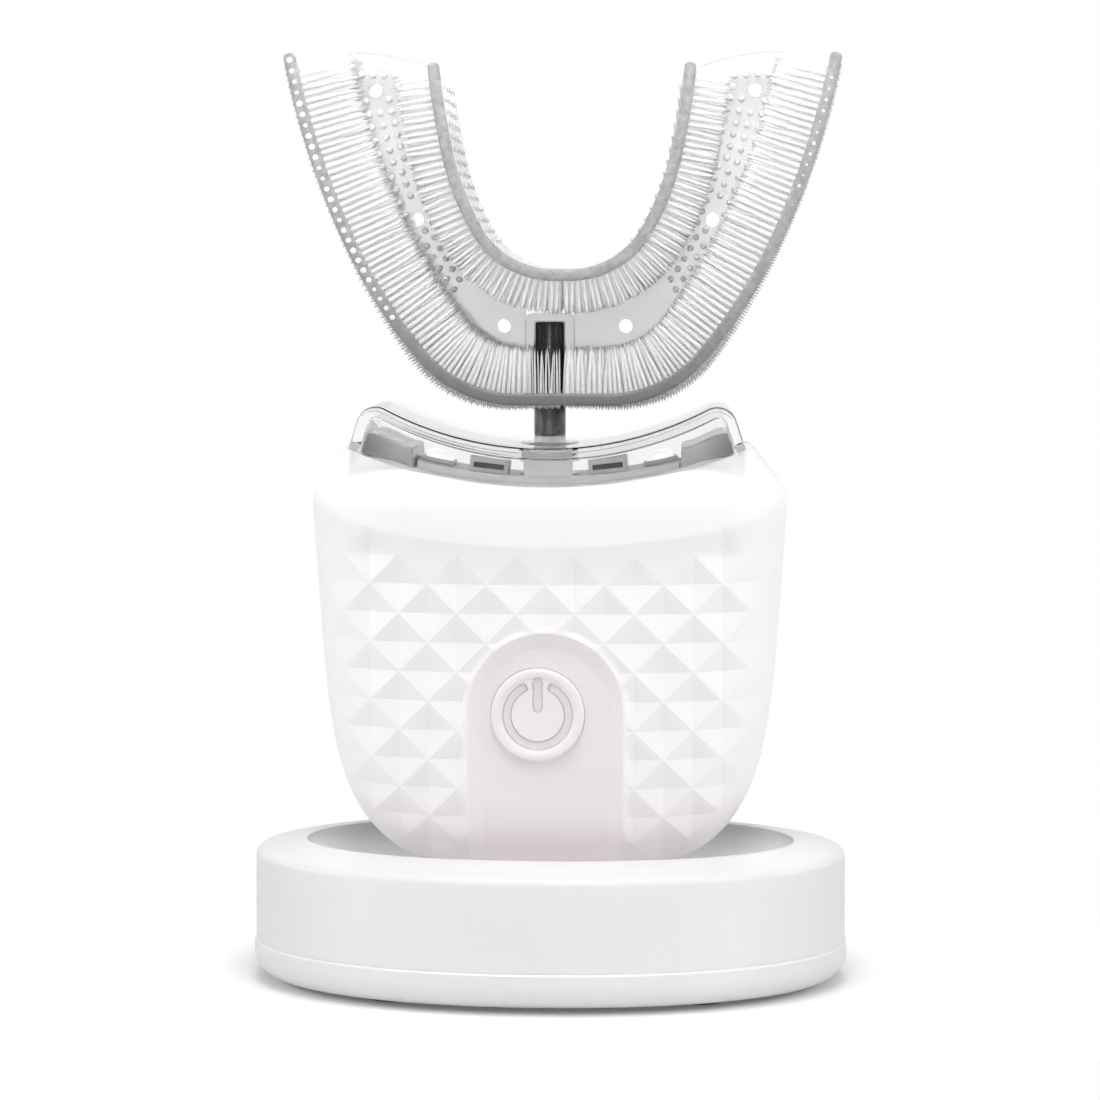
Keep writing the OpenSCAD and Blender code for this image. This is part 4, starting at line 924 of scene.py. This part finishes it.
def make_cover():
    outer = cover_sections(0.0, 0.7)
    inner = cover_sections(COVER_WALL, 0.35)
    n, m = outer.shape[:2]
    points = np.vstack([outer.reshape(-1, 3), inner.reshape(-1, 3)])
    faces = grid_faces(n, m) + [tuple(reversed(f)) for f in grid_faces(n, m, n * m)]
    for i in range(n - 1):
        for k in (0, m - 1):
            a, b = i * m + k, (i + 1) * m + k
            quad = (a, b, b + n * m, a + n * m)
            faces.append(quad if k == 0 else tuple(reversed(quad)))
    for i in (0, n - 1):
        for k in range(m - 1):
            a, b = i * m + k, i * m + k + 1
            faces.append((a, b, b + n * m, a + n * m))
    thing = solid("clear_light_cover", points, faces, 40, 0.01)
    combine(thing, [rod(3.5, (0, 0, COLLAR_Z + 2), (0, 0, COVER_TOP_Z + 4), 72)], sharp=40)
    return thing


place(make_cover(), "handset", "clear_cover", CLEAR, "light_cover")


def prism(outline, y0, y1, soft, material):
    """Drawing in X and Z extruded along Y, with its edges rounded by a bevel."""

    def bevel(bm):
        edges = [e for e in bm.edges if len(e.link_faces) == 2 and e.calc_face_angle(0) > math.radians(28)]
        bmesh.ops.bevel(
            bm, geom=edges, offset=soft * MM, offset_type="OFFSET", segments=3, profile=0.5,
            affect="EDGES", clamp_overlap=True,
        )

    outline = np.asarray(outline, float)
    points = np.vstack([np.insert(outline, 1, y, axis=1) for y in (y0, y1)])
    n = len(outline)
    faces = [tuple(range(n)), tuple(range(2 * n - 1, n - 1, -1))]
    faces += [(i, (i + 1) % n, n + (i + 1) % n, n + i) for i in range(n)]
    thing = solid("prism", points, faces, 35)
    edit_mesh(thing, bevel)
    shade(thing, 35)
    thing.data.materials.append(material)
    return thing


def slab(half, z0, z1, y0, y1, soft, material):
    """Block over the middle, with rounded edges."""
    return prism([(-half, z0), (half, z0), (half, z1), (-half, z1)], y0, y1, soft, material)


def joined(name, things):
    """One mesh from several, kept as separate shells with their materials."""
    bm = bmesh.new()
    materials = []
    for thing in things:
        before = len(bm.faces)
        bm.from_mesh(thing.data)
        bm.faces.ensure_lookup_table()
        material = thing.data.materials[0]
        if material not in materials:
            materials.append(material)
        for f in bm.faces[before:]:
            f.material_index = materials.index(material)
    mesh = bpy.data.meshes.new(name)
    bm.to_mesh(mesh)
    bm.free()
    for material in materials:
        mesh.materials.append(material)
    remove(things)
    made = bpy.data.objects.new(name, mesh)
    bpy.context.scene.collection.objects.link(made)
    shade(made, 35)
    return made


def turned_to_arc(thing, angle):
    """Tilts a piece drawn over the middle so that it stands on the collar's arc."""
    centre = Matrix.Translation(Vector((0, 0, (COLLAR_Z + COLLAR_R) * MM)))
    thing.data.transform(centre @ Matrix.Rotation(math.radians(-angle), 4, "Y") @ centre.inverted())
    return thing


LAMP_DOME = ((0.01, 0.5), (1.7, 0.5), (1.72, 0.7), (1.6, 1.0), (1.25, 1.35), (0.7, 1.55), (0.02, 1.6))


def make_lamps():
    """Two boxes with a dark window, two domes, and the upright plate between them."""
    floor = COLLAR_Z + 0.8 + 0.06
    pieces = []
    for angle in (-6.4, 6.4):
        pieces.append(turned_to_arc(slab(2.3, floor, floor + 1.9, -4.6, 2.5, 0.12, LENS_BODY), angle))
        pieces.append(turned_to_arc(slab(1.8, floor + 0.5, floor + 1.15, -4.72, -4.4, 0.04, WINDOW), angle))
    pieces.append(slab(2.9, floor, floor + 3.1, -5.5, -5.1, 0.1, DECK))
    for angle in (-12, 12):
        pieces.append(turned_to_arc(slab(2, floor, floor + 0.5, -2.5, 2.5, 0.1, LENS_BODY), angle))
        dome = lathe("dome", LAMP_DOME, floor, 40)
        dome.data.materials.append(LENS)
        pieces.append(turned_to_arc(dome, angle))
    return joined("light_lamp_modules", pieces)


def make_diffusers():
    """Block at each end below the cover, hollow below like the collar and sloping down inward."""
    low, high = box("light_diffusers")
    lean = math.tan(COVER_LEAN)
    edge = COVER_FOOT - (COVER_WALL + 0.15) / math.cos(COVER_LEAN)
    length, rise = 6.0, 1.8
    inner = edge - lean * rise
    outline = [(x, float(cover_bottom(x)) + 0.02) for x in np.linspace(edge - length, edge + 0.1, 14)]
    for s in np.linspace(0, 1, 12):
        outline.append((inner - (length - lean * rise) * s, CORNER_Z + rise - 1.75 * float(smooth_step(s))))
    sides = [np.array(outline) * [side, 1] for side in (-1, 1)]
    return joined("smoked_end_blocks", [prism(line, low[1], high[1], 0.25, DIFFUSER) for line in sides])


dress(make_lamps(), "handset", "light_lens", "light_modules")
dress(make_diffusers(), "handset", "diffuser", "light_diffusers")

# ---------------------------------------------------------------- drive shaft

shaft_low, shaft_high = box("drive_shaft")
MOUTH_Z = box("outer_wall")[0][2]


def make_shaft():
    """Shaft with chamfered ends, a fine groove above the cover and a thinner tip."""
    r, tip = 1.9, 1.75
    low, top, neck = shaft_low[2], shaft_high[2], MOUTH_Z - 0.3
    profile = [(0.01, low), (r - 0.3, low), (r, low + 0.3)]
    groove = ((0, 0.9), (0.06, 0.95), (0.06, 1.1), (0, 1.15))
    profile += [(r - depth, COVER_TOP_Z + rise) for depth, rise in groove]
    profile += [(r, neck - 0.15), (r - 0.05, neck - 0.03), (tip, neck)]
    profile += [(tip, top - 0.25), (tip - 0.08, top - 0.08), (tip - 0.3, top), (0.01, top)]
    return lathe("steel_drive_shaft", profile)


shaft = make_shaft()
place(shaft, "drive", "shaft_steel", SHAFT, "drive_shaft")
# The shaft below its groove gets the near-white of painted light.
paint_faces(shaft, face_centres(shaft)[:, 2] < COVER_TOP_Z + 0.9, SHAFT_PAINTED_LIGHT)

# ---------------------------------------------------------------- mouthpiece

MOUTH_D = 11.0
MOUTH_WALL = 1.4
MOUTH_X = 1.8
BORE_R = 1.85
OUTER = (5.4, (15.0, 60.0, 92.0), (50.0, 15.0, 14.5), MOUTH_Z)
INNER_CURVE = (1.0, (9.5, 30.0, 100.0), (60.0, 18.0, 6.0), MOUTH_Z + 15.9)


def curve_length(curve):
    flat, radii, turns, _ = curve
    return flat + sum(r * math.radians(t) for r, t in zip(radii, turns))


def station(curve, s, d):
    """Point at distance s along a curve from its middle, moved inward by d, and its direction."""
    flat, radii, turns, z = curve
    side, s = (1 if s >= 0 else -1), abs(s)
    if s <= flat:
        return np.array([MOUTH_X + side * s, z + d]), 0.0
    s -= flat
    x, a = flat, 0.0
    for r, turn in zip(radii, np.radians(turns)):
        centre = np.array([x - r * math.sin(a), z + r * math.cos(a)])
        if s <= r * turn or r == radii[-1]:
            break
        a += turn
        x, z = centre[0] + r * math.sin(a), centre[1] - r * math.cos(a)
        s -= r * turn
    a += s / r
    p = centre + (r - d) * np.array([math.sin(a), -math.cos(a)])
    return np.array([MOUTH_X + side * p[0], p[1]]), side * a


OUTER_LEN, INNER_LEN = curve_length(OUTER), curve_length(INNER_CURVE)


def make_wall(name, curve, d0, d1):
    """Strip along a curve between two offsets, with rounded edges all round."""
    soft, spacing, pinched = 0.35, 0.8, 0.5
    length = curve_length(curve)
    ends = length - np.array([0.5, 0.3, 0.16, 0.06, 0.0])
    half = np.unique(np.round(np.concatenate([np.arange(0, length - 0.6, spacing), ends]), 5))
    mid, thick = (d0 + d1) / 2, abs(d1 - d0) / 2
    straight = np.linspace(-MOUTH_D + 1.5, MOUTH_D - 1.5, 9)
    section = []
    for sy, sd, first in ((-1, -1, 180), (1, -1, 270), (1, 1, 0), (-1, 1, 90)):
        for t in np.radians(np.linspace(first, first + 90, 5)):
            y = sy * (MOUTH_D - soft) + soft * math.cos(t)
            section.append((y, sd * (thick - soft) + soft * math.sin(t)))
        if sy == sd:
            section += [(-sy * y, sd * thick) for y in straight]
    rings = []
    for s in both_sides(half):
        near = max(0.0, 1 - (length - abs(s)) / pinched)
        pinch = math.sqrt(max(0.0, 1 - near**2))
        scale_y = (MOUTH_D - 0.5 * (1 - pinch)) / MOUTH_D
        ring = []
        for y, d in section:
            p, _ = station(curve, s, mid + d * (0.15 + 0.85 * pinch))
            ring.append((p[0], y * scale_y, p[1]))
        rings.append(ring)
    return loft(name, rings, 50)


outer_wall = make_wall("mouthpiece_outer_wall", OUTER, 0.0, MOUTH_WALL)
inner_wall = make_wall("mouthpiece_inner_wall", INNER_CURVE, -MOUTH_WALL, 0.0)
combine(outer_wall, [rod(BORE_R, (0, 0, MOUTH_Z - 2), (0, 0, MOUTH_Z + 3), 72)], sharp=50)
place(outer_wall, "mouthpiece", "clear_silicone", SILICONE, "outer_wall")
place(inner_wall, "mouthpiece", "clear_silicone", SILICONE, "inner_wall")
# The rim faces of both walls get the dark grey of painted shade.
for wall in (outer_wall, inner_wall):
    paint_faces(wall, np.abs(face_centres(wall)[:, 1]) > MOUTH_D - 0.3, RIM)

HOLE_STATIONS = ((51.5, 8.8), (33.7, 8.3), (10, 8.75))
PLATE_HOLES = [station(OUTER, side * s, d)[0] for s, d in HOLE_STATIONS for side in (-1, 1)]


def make_plate():
    """Web between the two walls, a grid from the outer to the inner curve with its crest."""
    across = np.linspace(0, 1, 13)[:, None]
    rows = []
    for u in both_sides(np.linspace(0, 1, 70)):
        outer, _ = station(OUTER, u * OUTER_LEN, MOUTH_WALL - 0.02)
        inner, _ = station(INNER_CURVE, u * INNER_LEN, -MOUTH_WALL + 0.02)
        crest = 1.1 * 4 * across * (1 - across) * max(0, abs(u) - 0.96) / 0.04
        rows.append(outer + (inner - outer) * across + crest * [0, 1])
    rows = np.array(rows)
    n, m = rows.shape[:2]
    points = [np.insert(rows.reshape(-1, 2), 1, y, axis=1) for y in (-0.8, 0.8)]
    faces = grid_faces(n, m) + [tuple(reversed(f)) for f in grid_faces(n, m, n * m)]
    ids = np.arange(n * m).reshape(n, m)
    loop = [*ids[:, 0], *ids[-1, 1:], *ids[-2::-1, -1], *ids[0, -2:0:-1]]
    faces += [(a, b, b + n * m, a + n * m) for a, b in zip(loop, loop[1:] + loop[:1])]
    thing = solid("mouthpiece_bite_plate", np.vstack(points), faces)
    cutters = [rod(3.0, (0, 0, MOUTH_Z), (0, 0, MOUTH_Z + 11.6), 64)]
    cutters += [rod(0.85, (x, -5, z), (x, 5, z), 40) for x, z in PLATE_HOLES]
    combine(thing, cutters)
    return thing


place(make_plate(), "mouthpiece", "clear_silicone", WEB, "bite_plate")


def make_socket():
    """Round-topped socket, bored for the shaft's tip."""
    low, high = box("shaft_socket")
    z0, z1 = low[2], high[2]
    profile = [(0.01, z0), (3.0, z0), (3.0, z1 - 0.8), (2.8, z1 - 0.3)]
    profile += [(2.4, z1 - 0.05), (1.8, z1), (0.01, z1)]
    thing = lathe("mouthpiece_shaft_socket", profile, count=72)
    combine(thing, [rod(BORE_R, (0, 0, z0 - 2), (0, 0, shaft_high[2] + 0.15), 72)])
    return thing


place(make_socket(), "mouthpiece", "clear_silicone", SOCKET, "shaft_socket")


def spikes(places, sides, profile, lean):
    """Tapered filaments or bumps; each place is (root, direction, length, radius)."""
    points, faces = [], []
    turn = np.linspace(0, 2 * math.pi, sides, endpoint=False)
    rings = len(profile)
    for root, direction, length, radius in places:
        direction = direction / np.linalg.norm(direction)
        side = np.cross(direction, [0, 1, 0.001])
        side /= np.linalg.norm(side)
        other = np.cross(direction, side)
        bend = (side * RNG.normal(0, lean) + other * RNG.normal(0, lean)) * length * 0.5
        start = len(points)
        phase = RNG.uniform(0, 2 * math.pi)
        for share, at in profile:
            centre = root + direction * length * at + bend * at**2
            for t in turn + phase:
                points.append(centre + radius * share * (math.cos(t) * side + math.sin(t) * other))
        points.append(root + direction * length + bend)
        faces += grid_faces(rings, sides, start, wrap=True)
        tip, top = start + rings * sides, start + (rings - 1) * sides
        faces += [(top + i, top + (i + 1) % sides, tip) for i in range(sides)]
        faces.append(tuple(start + i for i in range(sides))[::-1])
    return points, faces


def spike_field(name, places, sides, profile, lean, slot, material, *nodes):
    """Spikes as one piece of the mouthpiece."""
    points, faces = spikes(places, sides, profile, lean)
    place(mesh_object(name, points, faces, 60), "mouthpiece", slot, material, *nodes)


def bristle_places(curve, wall_d, inward, lengths, pitches, radius):
    """Roots over a wall, staggered from row to row, closer and shorter at the bottom of the U."""
    total = curve_length(curve)
    places = []
    for k, depth in enumerate(np.arange(1.75, MOUTH_D - 0.4, 1.12)):
        for face, side in ((-1, -1), (-1, 1), (1, -1), (1, 1)):
            s = 0.3 + (0.5 if k % 2 else 0.0) * pitches[0]
            while s < total - 0.5:
                share = min(1.0, s / (0.45 * total))
                length, pitch = (a + (b - a) * share for a, b in (lengths, pitches))
                p, a = station(curve, side * s, wall_d)
                s += pitch
                by_shaft = wall_d > 0 and abs(p[0]) < 2.0
                if (by_shaft and depth < 8) or (abs(p[0]) < 3.3 and depth < 3.4):
                    continue
                direction = inward * np.array([-math.sin(a), 0, math.cos(a)])
                jitter = RNG.normal(0, 0.03, 2)
                root = np.array([p[0] + jitter[0], face * (depth + jitter[1]), p[1]])
                length *= RNG.uniform(0.93, 1.03)
                if direction[2] > 0:
                    length = min(length, (MOUTH_TOP - 0.1 - root[2]) / direction[2] - radius)
                if length > 1:
                    places.append((root, direction, length, radius * (0.5 if by_shaft else 1)))
    return places


MOUTH_TOP = box("bite_plate")[1][2]
FILAMENT = ((1.0, 0.0), (0.85, 0.45), (0.62, 0.85))
places = bristle_places(OUTER, MOUTH_WALL - 0.03, 1, (5.2, 6.1), (0.62, 0.8), 0.25)
spike_field("outer_bristle_field", places, 5, FILAMENT, 0.05, "white_silicone", BRISTLE, "outer_bristles")
places = bristle_places(INNER_CURVE, -MOUTH_WALL + 0.03, -1, (4.0, 4.3), (0.55, 0.75), 0.23)
spike_field("inner_bristle_field", places, 5, FILAMENT, 0.05, "white_silicone", BRISTLE, "inner_bristles")


def nub_places():
    """Roots over the outside of the U; the nubs are tallest on its lower corners."""
    places = []
    for k, depth in enumerate(np.linspace(-MOUTH_D + 1.2, MOUTH_D - 1.2, 13)):
        for side in (-1, 1):
            for s in np.arange(0.4 + 0.36 * (k % 2), OUTER_LEN - 1.2, 0.72):
                p, a = station(OUTER, side * s, 0.03)
                if abs(p[0]) >= 2.6 or abs(depth) >= 2.4:
                    tall = 0.35 + 0.7 * math.exp(-(((s - 15.5) / 11) ** 2))
                    outward = np.array([math.sin(a), 0, -math.cos(a)])
                    places.append((np.array([p[0], depth, p[1]]), outward, tall, 0.14))
    return places


THORN = ((1.0, 0.0), (0.75, 0.5), (0.45, 0.9))
spike_field("outer_nub_field", nub_places(), 6, THORN, 0.03, "clear_silicone", NUB, "outer_nubs")


def bump_places():
    """Round beads on the rims of the outer wall, and small pads on the inside of the inner wall."""
    beads, pads = [], []
    for side, first, sizes in ((-1, 0.42, (0.24, 0.42)), (1, 0.72, (0.14, 0.26))):
        for s in np.arange(first * OUTER_LEN, OUTER_LEN - 0.8, 1.3):
            p, _ = station(OUTER, side * s, MOUTH_WALL / 2)
            for face in (-1, 1):
                root = np.array([p[0], face * (MOUTH_D - 0.1), p[1]])
                beads.append((root, np.array([0, face, 0.02]), 0.22, RNG.uniform(*sizes)))
        for s in np.arange(0.3 * INNER_LEN, INNER_LEN - 1.5, 1.45):
            p, a = station(INNER_CURVE, side * s, 0.05)
            for depth in (-6.5, 0, 6.5):
                root = np.array([p[0], depth, p[1]])
                pads.append((root, np.array([-math.sin(a), 0, math.cos(a)]), 0.25, 0.34))
    return beads, pads


BUMP = ((1.0, 0.0), (0.95, 0.4), (0.72, 0.75), (0.4, 0.94))
beads, pads = bump_places()
spike_field("rim_bead_field", beads, 8, BUMP, 0.0, "clear_silicone", SOFT_WHITE)
spike_field("tongue_pad_field", pads, 8, BUMP, 0.0, "clear_silicone", NUB)


def plate_nub_places():
    """Short nubs in rows on both faces of the bite plate, clear of its holes."""
    places = []
    for side, face in ((-1, -1), (-1, 1), (1, -1), (1, 1)):
        for u in np.arange(0.34, 0.975, 2.0 / OUTER_LEN):
            outer, _ = station(OUTER, side * u * OUTER_LEN, MOUTH_WALL)
            inner, _ = station(INNER_CURVE, side * u * INNER_LEN, -MOUTH_WALL)
            count = 2 if u < 0.5 else 3 if u < 0.7 else 4
            for k in range(count):
                at = 0.56 + (k - (count - 1) / 2) * 1.35 / np.linalg.norm(inner - outer)
                p = outer + (inner - outer) * at
                if min(np.linalg.norm(p - hole) for hole in PLATE_HOLES) > 1.5:
                    places.append((np.array([p[0], face * 0.78, p[1]]), np.array([0, face, 0.02]), 0.6, 0.38))
    return places


PLATE_NUB = ((1.0, 0.0), (0.95, 0.6), (0.8, 0.88), (0.45, 0.99))
spike_field("bite_plate_nub_field", plate_nub_places(), 10, PLATE_NUB, 0.02, "clear_silicone", SOFT_WHITE)

# ---------------------------------------------------------------- stage, light and camera

WHITE = (1, 1, 1, 1)
CAMERA_TURN = math.radians(2.4)
CAMERA_REACH = 0.380
CAMERA_AIM = Vector((0.0, 0.0, 0.0521))


def make_floor():
    """Pale disc that takes the part's shadow near it and fades to plain white further out."""
    radii = [0.05, 0.1, 0.2, 0.4, 0.8, 1.6]
    turn = np.linspace(0, 2 * math.pi, 64, endpoint=False)
    count = len(turn)
    points = [[0, 0, 0]]
    points += [[r * math.cos(t) / MM, r * math.sin(t) / MM, 0] for r in radii for t in turn]
    faces = [(0, 1 + i, 1 + (i + 1) % count) for i in range(count)]
    faces += grid_faces(len(radii), count, 1, wrap=True)
    thing = mesh_object("studio_floor", points, faces)
    made = bpy.data.materials.new("studio_floor_white")
    made.use_nodes = True
    tree = made.node_tree
    tree.nodes.remove(tree.nodes["Principled BSDF"])
    coords = scaled(tree, node_of(tree, "TexCoord").outputs["Object"], (0.62, 1, 1))
    away = wired(tree, "VectorMath", coords, operation="LENGTH", output=1)
    seen = seen_rays(tree)
    far = ranged(tree, away, 0, 1, 0.032, 0.054, interpolation_type="SMOOTHSTEP")
    lifted = ranged(tree, away, 0.09, 0.36, 0.0215, 0.032)
    matte = wired(tree, "BsdfDiffuse", (0.78, 0.78, 0.785, 1))
    lift = wired(tree, "Emission", WHITE, wired(tree, "Math", seen, lifted, operation="MULTIPLY"))
    near = wired(tree, "AddShader", matte, lift)
    share = wired(tree, "Math", far, seen, operation="MULTIPLY")
    surface = wired(tree, "MixShader", share, near, wired(tree, "Emission", WHITE))
    tree.links.new(surface, tree.nodes["Material Output"].inputs["Surface"])
    thing.data.materials.append(made)


def seen_rays(tree):
    """1 for camera, glossy and transmission rays, else 0."""
    path = node_of(tree, "LightPath").outputs
    total = path["Is Camera Ray"]
    for name in ("Is Glossy Ray", "Is Transmission Ray"):
        total = wired(tree, "Math", total, path[name], operation="MAXIMUM")
    return total


def make_world(strength):
    """White studio behind the part, darker round the camera, that lights it with the strength given."""
    world = bpy.data.worlds.new("studio")
    bpy.context.scene.world = world
    world.use_nodes = True
    tree = world.node_tree
    tree.nodes.clear()
    toward = node_of(tree, "TexCoord").outputs["Generated"]
    depth = wired(tree, "SeparateXYZ", toward, output=1)
    behind = ranged(tree, depth, 0.35, 1.0, -0.1, 0.45, interpolation_type="SMOOTHSTEP")
    direct = node_of(tree, "LightPath").outputs["Is Camera Ray"]
    shown = wired(tree, "Math", behind, direct, operation="MAXIMUM")
    sky = wired(tree, "Background", WHITE, strength)
    surface = wired(tree, "MixShader", seen_rays(tree), sky, wired(tree, "Background", WHITE, shown))
    tree.links.new(surface, node_of(tree, "OutputWorld").inputs["Surface"])


def make_lamp(name, at, aim, size, share):
    """Soft rectangular lamp; share 1 would light a facing surface at its written colour."""
    data = bpy.data.lights.new(name, "AREA")
    data.shape = "RECTANGLE"
    data.size, data.size_y = size
    data.energy = share * math.pi**2 * (Vector(at) - Vector(aim)).length_squared
    thing = bpy.data.objects.new(name, data)
    bpy.context.scene.collection.objects.link(thing)
    thing.location = at
    thing.rotation_euler = (Vector(aim) - Vector(at)).to_track_quat("-Z", "Z").to_euler()
    return data


make_floor()
make_world(0.30)
make_lamp("key", (0.05, -0.29, 0.42), (0, 0, 0.09), (0.24, 0.24), 0.345)
make_lamp("front_fill", (-0.03, -0.42, 0.24), (0, 0, 0.08), (0.20, 0.20), 0.08)
make_lamp("mouth_light", (0.0, -0.07, 0.28), (0, 0, 0.095), (0.12, 0.12), 0.74)
narrow = make_lamp("mouth_fill", (0.0, -0.36, 0.17), (0, 0, 0.107), (0.12, 0.03), 0.0045)
narrow.spread = math.radians(12)
make_lamp("back_light", (0.0, 0.30, 0.22), (0, 0, 0.09), (0.20, 0.20), 0.10)
make_lamp("left_strip", (-0.42, -0.06, 0.22), (0, 0, 0.06), (0.08, 0.34), 0.39)
make_lamp("right_strip", (0.42, -0.06, 0.22), (0, 0, 0.06), (0.08, 0.34), 0.39)

camera_data = bpy.data.cameras.new("camera")
camera_data.lens = 103.6
camera_data.sensor_width = 36
camera_data.clip_start = 0.01
camera = bpy.data.objects.new("camera", camera_data)
bpy.context.scene.collection.objects.link(camera)
camera.location = (CAMERA_REACH * math.sin(CAMERA_TURN), -CAMERA_REACH * math.cos(CAMERA_TURN), 0.0871)
camera.rotation_euler = (CAMERA_AIM - camera.location).to_track_quat("-Z", "Y").to_euler()
bpy.context.scene.camera = camera
bpy.context.scene.view_settings.view_transform = "Standard"
